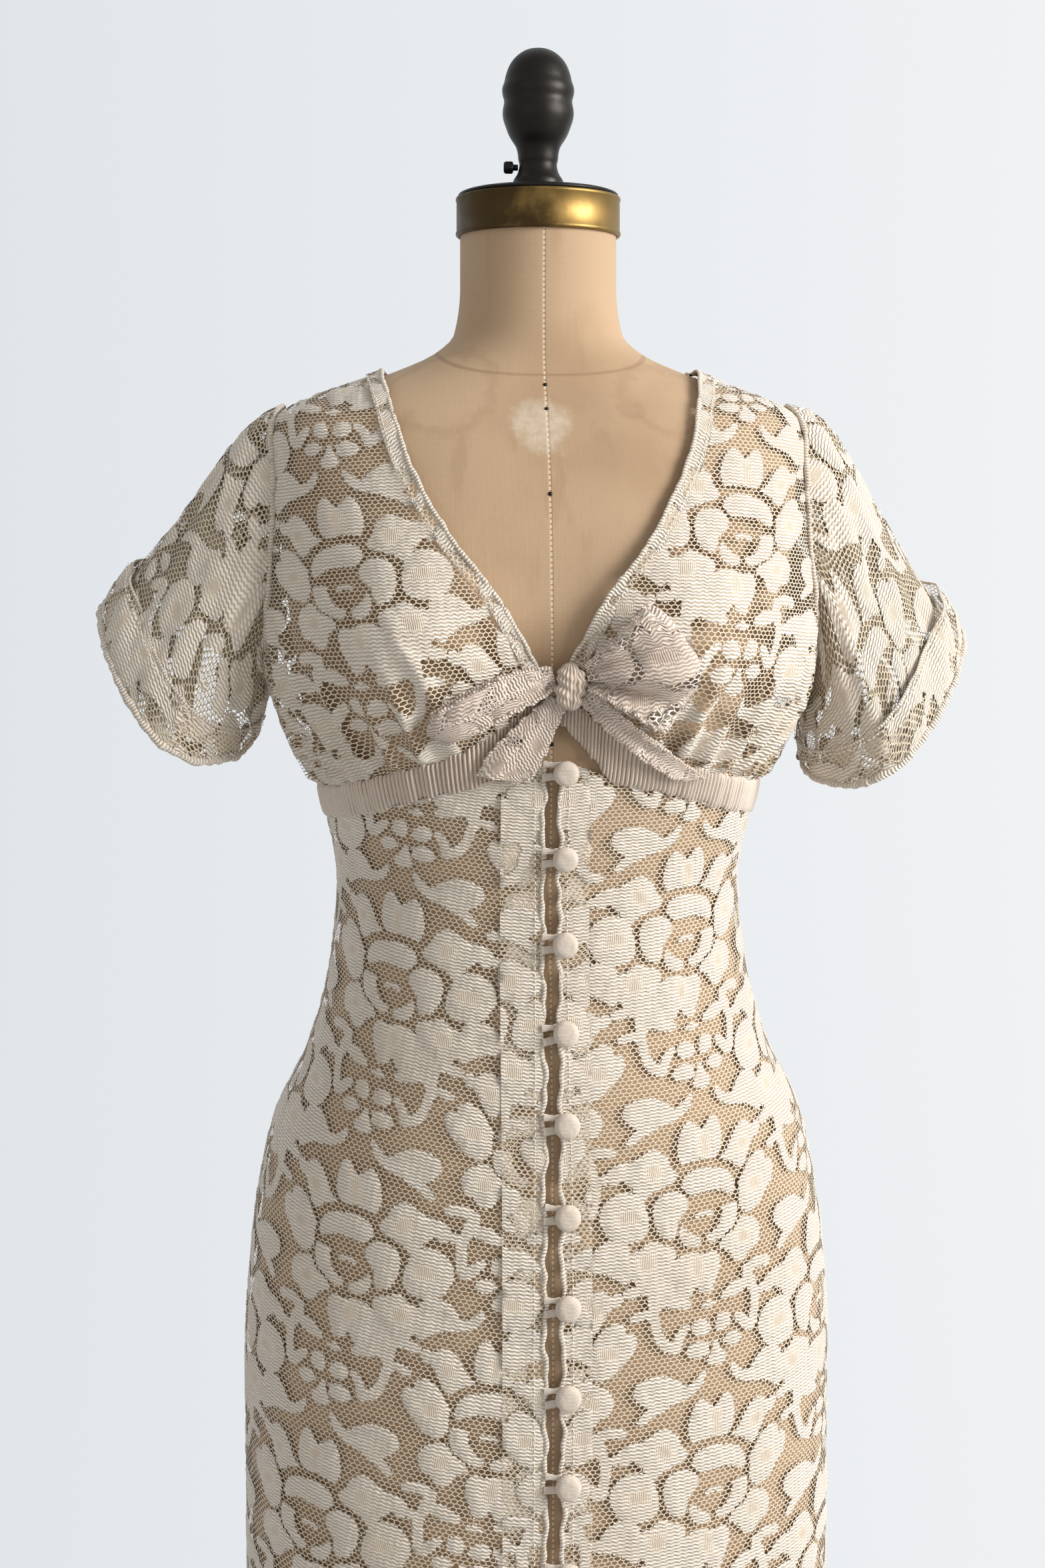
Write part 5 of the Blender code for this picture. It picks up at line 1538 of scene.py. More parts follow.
class Copies:
    """A Geometry Nodes group that sets copies of one piece on points, each turned to face its own way."""

    def __init__(self) -> None:
        """Makes the group."""
        group = self.group = bpy.data.node_groups.new("copies_on_points", "GeometryNodeTree")
        for name, kind in (("Points", "Geometry"), ("Copied piece", "Object"), ("Finish", "Material")):
            group.interface.new_socket(name, in_out="INPUT", socket_type="NodeSocket" + kind)
        group.interface.new_socket("Pieces", in_out="OUTPUT", socket_type="NodeSocketGeometry")
        start = add_node(group, "NodeGroupInput").outputs
        named, align = "GeometryNodeInputNamedAttribute", "FunctionNodeAlignRotationToVector"
        facing, upward = (
            add_node(group, named, {"Name": name}, data_type="FLOAT_VECTOR") for name in ("facing", "upward")
        )
        faced = add_node(group, align, {"Vector": facing}, axis="Z")
        inputs = {"Rotation": faced, "Vector": upward}
        rotation = add_node(group, align, inputs, axis="Y", pivot_axis="Z")
        inputs = {"Object": start["Copied piece"], "As Instance": True}
        piece = add_node(group, "GeometryNodeObjectInfo", inputs).outputs["Geometry"]
        inputs = {"Points": start["Points"], "Instance": piece, "Rotation": rotation}
        copies = add_node(group, "GeometryNodeInstanceOnPoints", inputs)
        real = add_node(group, "GeometryNodeRealizeInstances", {"Geometry": copies})
        finished = add_node(group, "GeometryNodeSetMaterial", {"Geometry": real, "Material": start["Finish"]})
        add_node(group, "NodeGroupOutput", (finished,))

    def place(
        self, name: str, piece: Piece, seats: Array, facing: Array, upward: Array, finish: Material
    ) -> Piece:
        """Makes one object of copies of a piece.

        Args:
            name: The new object's name.
            piece: What is copied, facing +Z with its top towards +Y. It is removed.
            seats: Where the copies stand.
            facing, upward: Which way each copy's front and its top point.
            finish: Their material.

        Returns:
            The copies as one object.
        """
        mesh = bpy.data.meshes.new(name + "_seats")
        mesh.from_pydata([tuple(seat) for seat in seats], [], [])
        for key, vectors in (("facing", facing), ("upward", upward)):
            layer = mesh.attributes.new(key, "FLOAT_VECTOR", "POINT")
            layer.data.foreach_set("vector", np.asarray(vectors, np.float32).ravel())
        holder = link(name + "_seats", mesh)
        modifier = holder.modifiers.new("Copies", "NODES")
        modifier.node_group = self.group
        sockets = {item.name: item.identifier for item in self.group.interface.items_tree}
        modifier[sockets["Copied piece"]] = piece
        modifier[sockets["Finish"]] = finish
        bpy.context.view_layer.update()
        graph = bpy.context.evaluated_depsgraph_get()
        made = bpy.data.meshes.new_from_object(holder.evaluated_get(graph))
        made.name = name
        for spent in (holder, piece):
            bpy.data.objects.remove(spent)
        return link(name, made)


@dataclass
class Workshop:
    """What every maker of pieces works from."""

    figure: Figure
    finishes: Finishes
    copies: Copies
    cloth: LaceCloth


@dataclass
class Form(Workshop):
    """The dress form: padded torso, neck fittings, finial, set screw, pole and base.

    Args:
        collar: The brass collar's inner and outer radius, and its lower and upper ends.
        finial: The finial's radii in millimetres, each with its share of the finial's height.
        tack_heights: Where the tacks are on the centre seam.
        tack: A tack's radii and heights.
        sides: How many sides the torso has.
        pole_radius, base_radius, base_height: Sizes of the stand.
    """

    collar: tuple[float, float, float, float] = (0.0504, 0.0528, 1.4630, 1.4880)
    finial: Profile = (
        (0.0, 1.0), (4.5, 0.996), (9.2, 0.982), (13.9, 0.945), (17.6, 0.901), (19.8, 0.85),
        (21.3, 0.795), (21.6, 0.765), (22.9, 0.735), (23.4, 0.704), (22.8, 0.665), (21.5, 0.632),
        (22.5, 0.59), (23.1, 0.551), (22.7, 0.505), (20.9, 0.453), (19.4, 0.405), (17.4, 0.365),
        (15.0, 0.33), (13.7, 0.3), (12.9, 0.255), (12.9, 0.217), (11.9, 0.198), (12.2, 0.165),
        (13.4, 0.12), (15.7, 0.09), (16.3, 0.07), (16.3, 0.018), (16.0, 0.0), (0.0, 0.0),
    )
    tack_heights: tuple[float, ...] = (1.3660, 1.3510, 1.3000, 1.1540)
    tack: Profile = ((0.0, 0.0009), (0.0008, 0.0007), (0.0013, 0.0002), (0.0013, -0.0004), (0.0, -0.0004))
    sides: int = 144
    pole_radius: float = 0.0125
    base_radius: float = 0.205
    base_height: float = 0.046

    def build(self) -> None:
        """Makes every piece of the form and its stand."""
        self._torso()
        self._tacks()
        self._fittings()
        self._screw()
        self._stand()

    def _torso(self) -> None:
        """The padded torso and neck, with its seams in a second set of flat coordinates."""
        turns = np.linspace(-180, 180, self.sides + 1)
        levels = np.concatenate(
            [np.linspace(FORM_BOTTOM, 1.0, 24), np.linspace(1.01, 1.33, 44), np.linspace(1.333, NECK_TOP, 40)]
        )
        points = self.figure.skin(turns[None, :], levels[:, None])
        round_edge = ease(levels, FORM_BOTTOM, FORM_BOTTOM + 0.012)[:, None]
        points[..., :2] *= (0.965 + 0.035 * round_edge)[..., None]
        points[:, -1] = points[:, 0]
        run = np.stack([run_along(row) for row in points])
        run -= run[:, self.sides // 2, None]
        height = levels[:, None] + 0 * run
        neck_seam = 1.372 + 0.016 * np.sin(np.radians(turns)) ** 2
        first = np.arange(self.sides)
        fan = np.stack([first, first + 1, 0 * first + self.sides + 1], axis=-1)
        mesh = Mesh()
        mesh.add_grid(points, np.stack([run, height], axis=-1))
        for ring, middle, faces in ((points[0], FORM_BOTTOM, fan[:, ::-1]), (points[-1], NECK_TOP, fan)):
            end = np.append(ring, [[0.0, 0.0, middle]], axis=0)
            mesh.add(end, faces, end[:, :2])
        piece = mesh.build("padded_form", self.finishes.linen)
        seams = np.full((mesh.count, 2), 1.0)
        seams[: run.size] = FLAT_SCALE * np.stack([run, height - neck_seam], axis=-1).reshape(-1, 2)
        corners = np.empty(len(piece.data.loops), np.int32)
        piece.data.loops.foreach_get("vertex_index", corners)
        layer = piece.data.uv_layers.new(name="Seams")
        layer.data.foreach_set("uv", seams[corners].astype(np.float32).ravel())
        settle(piece, "linen", "form", "form_torso")

    def _tacks(self) -> None:
        """The small tacks down the centre seam, the lowest of them a pin's head."""
        heights = np.array(self.tack_heights)
        facing = self.figure.normal(0 * heights, heights)
        seats = self.figure.skin(0 * heights, heights)
        iron = self.finishes.iron
        tack = lathe("tack", self.tack, 16, iron)
        tacks = self.copies.place("form_tacks", tack, seats, facing, upright(facing), iron)
        settle(tacks, "blackened_iron", "form")

    def _fittings(self) -> None:
        """The brass collar, the cap plate and the turned finial."""
        iron = self.finishes.iron
        inner, radius, low, high = self.collar
        rim = [
            (inner, high), (radius - 0.0012, high), (radius - 0.0004, high - 0.0003), (radius, high - 0.0010),
            (radius, high - 0.0022), (radius - 0.0005, high - 0.0028), (radius - 0.0005, low + 0.0030),
            (radius, low + 0.0024), (radius, low + 0.0008), (radius - 0.0006, low), (inner, low),
            (inner, high),
        ]
        settle(lathe("brass_collar", rim, 96, self.finishes.brass), "aged_brass", "form", "neck_collar")
        lip, seat = high + LAYER_GAP, NECK_TOP + LAYER_GAP
        plate = [(0.0, lip + 0.0030), (0.0470, lip + 0.0030), (0.0486, lip + 0.0026), (0.0494, lip + 0.0020),
                 (0.0506, lip + 0.0018), (0.0512, lip + 0.0012), (0.0512, lip), (0.0490, lip), (0.0490, seat),
                 (0.0, seat)]
        settle(lathe("cap_plate", plate, 96, iron), "blackened_iron", "form", "neck_cap")
        foot = lip + 0.0030 + LAYER_GAP
        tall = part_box("finial")[1][2] - foot
        outline = [(wide * MM, foot + share * tall) for wide, share in self.finial]
        finial = lathe("turned_finial", outline, 48, iron)
        bevel = finial.modifiers.new("Subdivision", "SUBSURF")
        bevel.levels = bevel.render_levels = 1
        settle(finial, "blackened_iron", "form", "finial")

    def _screw(self) -> None:
        """The set screw: a slotted head on a short shank, turning with its own body."""
        low, high = np.array(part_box("set_screw"))
        middle = (low + high) / 2
        radius, slot, deep = (high[2] - low[2]) / 2, 0.0007, 0.0012
        profile = np.array((
            (0.0, 0.0), (0.0020, 0.0), (0.0020, 0.0028), (radius * 0.93, 0.0034), (radius, 0.0042),
            (radius, 0.0078), (radius * 0.82, 0.0090),
        ))
        turn = np.linspace(0, 2 * np.pi, 28, endpoint=False)
        wide, reach = profile.T[..., None]
        rings = np.stack([high[0] - reach + 0 * turn, wide * np.cos(turn), wide * np.sin(turn)], axis=-1)
        rings = rings + (0.0, middle[1], middle[2])
        floor = rings[-1] + (deep, 0.0, 0.0)
        floor[:, 2] = np.clip(floor[:, 2], middle[2] - slot, middle[2] + slot)
        shut = floor * (1.0, 1.0, 0.0) + (0.0, 0.0, middle[2])
        rings = np.concatenate([rings, [floor, shut]])
        piece = turned("slotted_screw", rings, self.finishes.iron, soft=False)
        settle(piece, "blackened_iron", "screw", "set_screw")

    def _stand(self) -> None:
        """The iron pole and its round base."""
        radius, tall, rod = self.base_radius, self.base_height, self.pole_radius
        plate = [(0.0, tall), (0.0270, tall), (0.0295, tall - 0.0012), (0.0305, tall - 0.0040),
                 (0.0360, tall - 0.0140), (0.0480, tall - 0.0185), (0.1025, tall - 0.0240), (0.1500, 0.0185),
                 (radius - 0.0100, 0.0135), (radius - 0.0040, 0.0110), (radius, 0.0070), (radius, 0.0020),
                 (radius - 0.0010, 0.0), (0.0, 0.0)]
        settle(lathe("round_base", plate, 128, self.finishes.iron), "blackened_iron", "form", "stand_base")
        (_, _, foot), (_, _, top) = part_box("stand_pole")
        pole = [(0.0, top), (rod, top), (rod, foot + 0.030), (rod, foot), (0.0, foot)]
        settle(lathe("iron_pole", pole, 48, self.finishes.iron), "blackened_iron", "form", "stand_pole")


def upright(facing: Array) -> Array:
    """Returns the unit vectors nearest to +Z that are square to others."""
    return unit(np.array([0.0, 0.0, 1.0]) - facing * facing[:, 2:])


@dataclass(frozen=True)
class Roll:
    """A rolled or folded edge of cloth.

    Args:
        wide: Its width across the cloth's face, in metres.
        thick: Its thickness off the face.
        seed: Where its unevenness starts.
        step: How far apart its rings are.
        sides: How many sides it has.
    """

    wide: float
    thick: float
    seed: int = 1
    step: float = 0.0012
    sides: int = 8

    def add_to(self, mesh: Mesh, path: Array, outward: Array, finish: int = 1) -> None:
        """Adds the edge along a path to a mesh, on the side that outward points to."""
        run = run_along(path)
        places = np.linspace(0, run[-1], max(4, round(run[-1] / self.step)))
        centre, up = read_along(places, run, path), unit(read_along(places, run, outward))
        beside = unit(np.cross(up, np.gradient(centre, axis=0)))[:, None]
        turn = np.linspace(0, 2 * np.pi, self.sides + 1)[None, :, None]
        lumps = 1 + 0.26 * uneven(len(places), 3.0, self.seed)[:, None, None]
        sway = 0.18 * self.wide * uneven(len(places), 7.0, self.seed + 50)[:, None, None]
        points = centre[:, None] + beside * (sway + self.wide / 2 * lumps * np.cos(turn))
        points = points + up[:, None] * self.thick / 2 * lumps * (1 + np.sin(turn))
        flat = np.broadcast_arrays(turn[..., 0] * self.wide / 2, places[:, None])
        mesh.add_grid(points, np.stack(flat, axis=-1), finish)


@dataclass
class Dress(Workshop):
    """The lace dress: its panels, sleeves, cuffs and folded edges, and the stitches along them.

    Args:
        overlap: How far a folded strip is above the cloth under it.
        gathers: How many folds fan up from the band on a side.
        gather_depth, gather_height: How deep the folds are, and how far up they reach.
        gather_lean: How much they lean outwards.
        stitch: The stitches' pitch, length and thickness.
    """

    overlap: float = 0.0012
    gathers: int = 7
    gather_depth: float = 0.0075
    gather_height: float = 0.105
    gather_lean: float = 1.2
    stitch: tuple[float, float, float] = (0.0036, 0.0022, 0.00032)

    def build(self) -> None:
        """Makes every piece of the dress."""
        self.front, self.rear = (FlatChart(self.figure, back) for back in (False, True))
        self.stitches: list[tuple[Array, Array]] = []
        for sign, tag in SIDES:
            self._skirt(sign, tag)
            self._bodice_front(sign, tag)
        self._bodice_back()
        for sign, tag in SIDES:
            self._sleeve(sign, tag)
            self._neck_edge(sign, tag)
            self._placket(sign, tag)
        self._stitching()

    def _gathered(self, turn: Array, height: Array) -> Array:
        """Distance off the form of the bodice's front, with folds that fan up and outwards from the band."""
        above = np.maximum(height - self.figure.seam(turn, Line.BAND_TOP), 0)
        start = self._neck(height)
        share = np.clip((turn - start) / np.maximum(SIDE_TURN - start, 1.0), 0, 1)
        source = share - self.gather_lean * above
        sway = 0.9 * np.sin(9 * source) + 0.5 * np.sin(17 * source + 1)
        wave = 0.5 + 0.5 * np.cos(2 * np.pi * self.gathers * (source - 0.38) / 0.585 + sway)
        zone = ease(source, 0.14, 0.30) * (1 - ease(share, 0.93, 1.0))
        reach = self.gather_height * (1 + 0.40 * np.sin(13 * source))
        swell = (1 - ease(above, 0.25 * reach, reach)) * ease(above, 0.0, 0.008)
        return self.figure.bodice_out(turn, height) + self.gather_depth * wave**1.8 * zone * swell

    def _fullness(self, height: Array) -> Array:
        """How much wider the front's cloth is than its place, where the band gathers it."""
        return 1 + 0.45 * np.exp(-np.maximum(height - 1.135, 0) / 0.040)

    def _waist(self, turn: Array) -> Array:
        """The height of the skirt's top at a turn."""
        return self.figure.seam(turn, Line.SKIRT_TOP) - SEAM_GAP / 2

    def _under_bust(self, turn: Array) -> Array:
        """The height of the bodice's lower edge at a turn."""
        return self.figure.seam(turn, Line.BAND_TOP) + SEAM_GAP / 2

    def _across(self, far: Array | float, height: Array) -> Array:
        """The turn of a line at a distance from the centre front, at a height."""
        return self.figure.turn_of(far + 0 * height, height)

    def _neck(self, height: Array) -> Array:
        """The turn of the neckline at a height."""
        return self._across(self.figure.neckline(height), height)

    def _armhole(self, height: Array) -> Array:
        """The turn of the side seam, or of the armhole where there is one, at a height."""
        return SIDE_TURN - self.figure.armhole_turn(height)

    def _back_neck(self, height: Array) -> Array:
        """The turn of the back neckline from the centre back at a height."""
        share = (height - BACK_NECK_HEIGHT) / (NECK_POINT_HEIGHT - BACK_NECK_HEIGHT)
        climb = np.clip(share, 0, 1) ** (1 / 1.6)
        widest = self.figure.section(np.array(NECK_POINT_HEIGHT))[0]
        return np.where(height > BACK_NECK_HEIGHT, self._across(widest * climb**0.75, height), 0.0)

    def _skirt(self, sign: int, tag: str) -> None:
        """Makes the skirt's front and back panels on a side."""
        layer = LaceLayer((0.080, 1.045), 2.0) if sign > 0 else LaceLayer((0.090, 1.018), 9.0)
        hem, side, out = steady(HEM_HEIGHT), steady(SIDE_TURN), self.figure.skirt_out
        edge = partial(self._across, FRONT_EDGE)
        front = BodyPanel("skirt_front_" + tag, self.front, sign, hem, self._waist, edge, side, out)
        self._round_lace(front, layer, (0.300, 0.860), "hung", Edge.LOW, Edge.OUTER)
        waist = from_back(self._waist)
        back = BodyPanel("skirt_back_" + tag, self.rear, sign, hem, waist, steady(0.0), side, out)
        self._round_lace(back, LaceLayer((0.070, 1.000), 3.0), (0.310, 0.810), "hung", Edge.LOW, Edge.INNER)

    def _bodice_front(self, sign: int, tag: str) -> None:
        """Makes the gathered front of the bodice on a side."""
        panel = BodyPanel(
            "bodice_front_" + tag, self.front, sign, self._under_bust, steady(NECK_POINT_HEIGHT), self._neck,
            self._armhole, self._gathered, self._fullness,
        )
        layer = LaceLayer((0.118, 1.262) if sign < 0 else (0.112, 1.292), -4.0)
        self._round_lace(panel, layer, (0.250, 0.300), "gathered", Edge.HIGH)

    def _bodice_back(self) -> None:
        """Makes the bodice's back, its neckline rolled."""
        panel = BodyPanel(
            "bodice_back", self.rear, 0, from_back(self._under_bust), steady(NECK_POINT_HEIGHT),
            self._back_neck, self._armhole, self.figure.bodice_out,
        )
        neck = panel.edge(Edge.INNER, BACK_NECK_HEIGHT + 0.0001)
        rolls = [(Roll(0.0026, 0.0018), np.concatenate([neck[::-1] * [-1, 1], neck]), 0.0)]
        self._lace(panel, (LaceLayer((0.0, 1.240)),), "lace", (0.400, 0.310), "hung", rolls)

    def _round_lace(
        self, panel: BodyPanel, layer: LaceLayer, flat: tuple[float, float], held: str, *edges: Edge
    ) -> None:
        """Makes one panel with rolls along some of its edges, and the hem's stitches where it has a hem."""
        rolls = [(Roll(0.0020, 0.0014, k + 1), panel.edge(edge), 0.0) for k, edge in enumerate(edges)]
        self._lace(panel, (layer,), "lace", flat, held, rolls)
        if Edge.LOW in edges:
            self.stitches.append(panel.along(panel.edge(Edge.LOW, inset=0.012), 0.0011))

    def _lace(
        self,
        panel: Panel,
        layers: Sequence[LaceLayer],
        slot: str,
        flat: tuple[float, float],
        held: str,
        rolls: Sequence[tuple[Roll, Array, float]],
        turned_under: float = 0.0,
    ) -> None:
        """Makes one lace piece.

        Args:
            panel: Where it lies.
            layers: Its layers of lace.
            slot: Its material slot.
            flat: Width and length of the cloth it was cut from. It is not used.
            held: How it is held. It is not used.
            rolls: Its rolled edges, each with its places on the panel and its distance off it.
            turned_under: The cloth turned under along its edges, in square metres.
        """
        finishes = self.finishes
        mesh = Mesh()
        self.cloth.lay(panel, layers, mesh)
        for roll, places, out in rolls:
            roll.add_to(mesh, *panel.along(places, out))
        colours = [finishes.net, finishes.lace, finishes.lining_net_in_painted_shade, finishes.lining_in_painted_shade]
        most = 1 + max(layer.finish for layer in layers)
        piece = settle(mesh.build("lace_" + panel.name, *colours[:most]), slot, "form", panel.name)
        area = len(layers) * panel.cut_area() + turned_under

    def _sleeve(self, sign: int, tag: str) -> None:
        """Makes a sleeve with its turned-back cuff.

        Args:
            sign: 1 for the +X side, -1 for the other.
            tag: The side's letter in the pieces' names.
        """
        turns = np.linspace(-np.pi, np.pi, 181)

        def ring(share: float) -> Array:
            """Returns places round the sleeve or cuff at a share of its length."""
            return np.stack([turns, 0 * turns + share], axis=-1)

        sleeve = SleevePanel("sleeve_" + tag, self.figure, sign)
        lean = 184.0 if sign > 0 else 0.0
        # The first layer is the inner one, in darker colours as a painted shade for the sleeve's inside
        layers = (LaceLayer((0.056, 0.018), lean, finish=3), LaceLayer((0.007, -0.063), lean, sleeve.lined))
        rolls = [(Roll(0.0034, 0.0030), ring(0.004), 0.0005)]
        self._lace(sleeve, layers, "lace", (0.380, 0.300), "hung", rolls)
        cuff = SleevePanel("cuff_" + tag, self.figure, sign, cuff=True)
        rolls = [(Roll(0.0042, 0.0034, 5), ring(0.0), -0.0010), (Roll(0.0018, 0.0013, 9), ring(1.0), 0.0001)]
        layers = (LaceLayer((0.030, 0.020), 176.0),)
        self._lace(cuff, layers, "lace_trim", (0.380, 0.040), "folded", rolls, turned_under=0.0026)
        self.stitches.append(cuff.along(ring(0.90), 0.0018))

    def _folded(
        self, panel: BodyPanel, lace: LaceLayer, flat: tuple[float, float], heights: Array, fold: Roll,
        fold_at: Array, sewn_at: Array,
    ) -> None:
        """Makes a strip folded along its inner edge, with the fold's roll and its row of stitches.

        Args:
            panel: Where it lies.
            lace: How the lace lies on it.
            flat: Width and length of the cloth it was cut from.
            heights: Heights along it.
            fold: The fold's roll.
            fold_at: The fold's turns at those heights.
            sewn_at: The stitches' turns there.
        """
        rolls = [(fold, np.stack([fold_at, heights], axis=-1), 0.0)]
        self._lace(panel, (lace,), "lace_trim", flat, "folded", rolls)
        self.stitches.append(panel.along(np.stack([sewn_at, heights], axis=-1), 0.0012))

    def _neck_edge(self, sign: int, tag: str) -> None:
        """Makes the narrow folded edge along the neckline.

        Args:
            sign: 1 for the +X side, -1 for the other.
            tag: The side's letter in the piece's name.
        """

        def outer(height: Array) -> Array:
            """Returns the turn of the strip's outer edge at a height."""
            return self._across(self.figure.neckline(height) + NECK_EDGE_WIDTH, height)

        panel = BodyPanel(
            "neck_edge_" + tag, self.front, sign, lambda turn: np.maximum(self._under_bust(turn), NECK_FOOT),
            steady(NECK_POINT_HEIGHT), self._neck, outer,
            lambda turn, height: self._gathered(turn, height) + self.overlap,
        )
        heights = np.linspace(NECK_FOOT, NECK_POINT_HEIGHT, 120)
        lace, fold = LaceLayer((0.040, 1.230), -38.0), Roll(0.0026, 0.0016, 3)
        at = self._neck(heights) + 0.35, outer(heights) - 0.9
        self._folded(panel, lace, (0.012, 0.250), heights, fold, *at)

    def _placket(self, sign: int, tag: str) -> None:
        """Makes the doubled strip along a front edge of the skirt.

        Args:
            sign: 1 for the +X side, -1 for the other.
            tag: The side's letter in the piece's name.
        """
        width = PLACKET_WIDTHS[sign]

        def inner(height: Array) -> Array:
            """Returns the turn of the strip's folded edge at a height, a little uneven."""
            sway = 0.0008 * np.sin(150 * height + sign) + 0.0005 * np.sin(390 * height)
            return self._across(FRONT_EDGE - 0.0012 + sway, height)

        panel = BodyPanel(
            "placket_" + tag, self.front, sign, steady(HEM_HEIGHT), self._waist, inner,
            partial(self._across, FRONT_EDGE + width),
            lambda turn, height: self.figure.skirt_out(turn, height) + self.overlap,
        )
        heights = np.linspace(HEM_HEIGHT + 0.001, float(self._waist(np.array(2.0))), 400)
        lace, fold = LaceLayer((0.052, 1.000), 5.0), Roll(0.0026, 0.0016, 7)
        at = inner(heights) + 0.30, self._across(FRONT_EDGE, heights) + 1.6
        self._folded(panel, lace, (width + 0.003, 0.860), heights, fold, *at)

    def _stitching(self) -> None:
        """Makes the sewing thread: short running stitches along the edges."""
        pitch, length, thick = self.stitch
        seats, facing, upward = [], [], []
        for points, normals in self.stitches:
            run = run_along(points)
            places = np.arange(pitch / 2, run[-1], pitch)
            seats.append(read_along(places, run, points))
            facing.append(unit(read_along(places, run, normals)))
            upward.append(unit(np.gradient(seats[-1], axis=0)))
        shape = np.linspace(-1, 1, 5)
        path = np.stack([0 * shape, shape * length / 2, thick * (1.2 - shape**4)], axis=-1)
        turn = np.linspace(0, 2 * np.pi, 5)
        ring = np.stack([np.cos(turn), 0 * turn, np.sin(turn)], axis=-1) * thick
        points = path[:, None] + ring[None] * (1.05 - shape[:, None, None] ** 6)
        mesh = Mesh()
        mesh.add_grid(points, points[..., :2], turned=True)
        thread = self.finishes.thread
        lines = (np.concatenate(rows) for rows in (seats, facing, upward))
        piece = self.copies.place("sewing_thread", mesh.build("stitch", thread), *lines, thread)
        settle(piece, "lace_trim", "form")


@dataclass
class Band(Workshop):
    """The ribbed band under the bust: two fronts that rise to the knot, and the back.

    Args:
        rib_depth: How deep the ribs are.
        steps_to_rib: How many points round the band there are to a rib.
        profile: Shares of the band's height, each with how far it stands off.
    """

    rib_depth: float = 0.00075
    steps_to_rib: int = 4
    profile: Profile = (
        (-0.10, 0.0002), (-0.04, 0.0012), (0.08, 0.0018), (0.35, 0.0021), (0.65, 0.0021), (0.92, 0.0018),
        (1.02, 0.0012), (1.06, 0.0002),
    )

    def build(self) -> None:
        """Makes the two fronts and the back of the band."""
        start = float(self.figure.turn_of(np.array(FRONT_EDGE), np.array(1.175)))
        for sign, tag in SIDES:
            self._stretch("band_front_" + tag, start, SIDE_TURN - 0.05, sign, (0.024, 0.300))
        self._stretch("band_back", SIDE_TURN + 0.05, 360 - SIDE_TURN - 0.05, 1, (0.024, 0.480))

    def _stretch(self, name: str, start: float, end: float, sign: int, flat: tuple[float, float]) -> None:
        """Makes one stretch of the band.

        Args:
            name: The name of the node that it stands for.
            start, end: The turns that it runs between.
            sign: 1 for the +X side, -1 for the other.
            flat: Width and length of the ribbon before it is drawn up. It is not used.
        """
        figure = self.figure
        turns = np.linspace(start, end, 400)
        middle = (figure.seam(turns, Line.BAND_TOP) + figure.seam(turns, Line.BAND_BOTTOM)) / 2
        run = run_along(figure.skin(turns, middle))
        count = round(run[-1] / RIB * self.steps_to_rib)
        places = np.linspace(0, run[-1], count + 1)
        turn = np.interp(places, run, turns)
        low, high = figure.seam(turn, Line.BAND_BOTTOM), figure.seam(turn, Line.BAND_TOP)
        share, dome = np.array(self.profile).T[..., None]
        outward = np.where(share < 0.5, 1, -1) * (np.abs(share - 0.5) > 0.5)
        height = low + (high - low) * share + 0.0012 * uneven(count + 1, 5.0, len(name)) * outward
        ribs = self.rib_depth * np.cos(2 * np.pi * np.arange(count + 1) / self.steps_to_rib)
        puckers = 0.0010 * uneven(count + 1, 9.0, 3 + len(name))
        points = figure.off(turn + 0 * share, height, FORM_CLEARANCE + dome + ribs + puckers)
        points[..., 0] *= sign
        mesh = Mesh()
        mesh.add_grid(points, np.stack([places + 0 * share, height], axis=-1), turned=sign < 0)
        piece = settle(mesh.build("ribbed_" + name, self.finishes.ribbed), "lace_trim", "form", name)


@dataclass(frozen=True)
class Ribbon:
    """A loop or tail of the bow.

    Args:
        ties: Its places from the knot: across, height, half width and distance off the bodice.
        flip: Whether it runs towards the viewer's left.
        pleats: How many pleats run along it.
        depth: How deep they are.
        phase: Where the first pleat starts.
        lace: Its layers of lace, with the rose's middle across and along the ribbon.
    """

    ties: tuple[tuple[float, float, float, float], ...]
    flip: bool
    pleats: float
    depth: float
    phase: float
    lace: tuple[LaceLayer, ...]


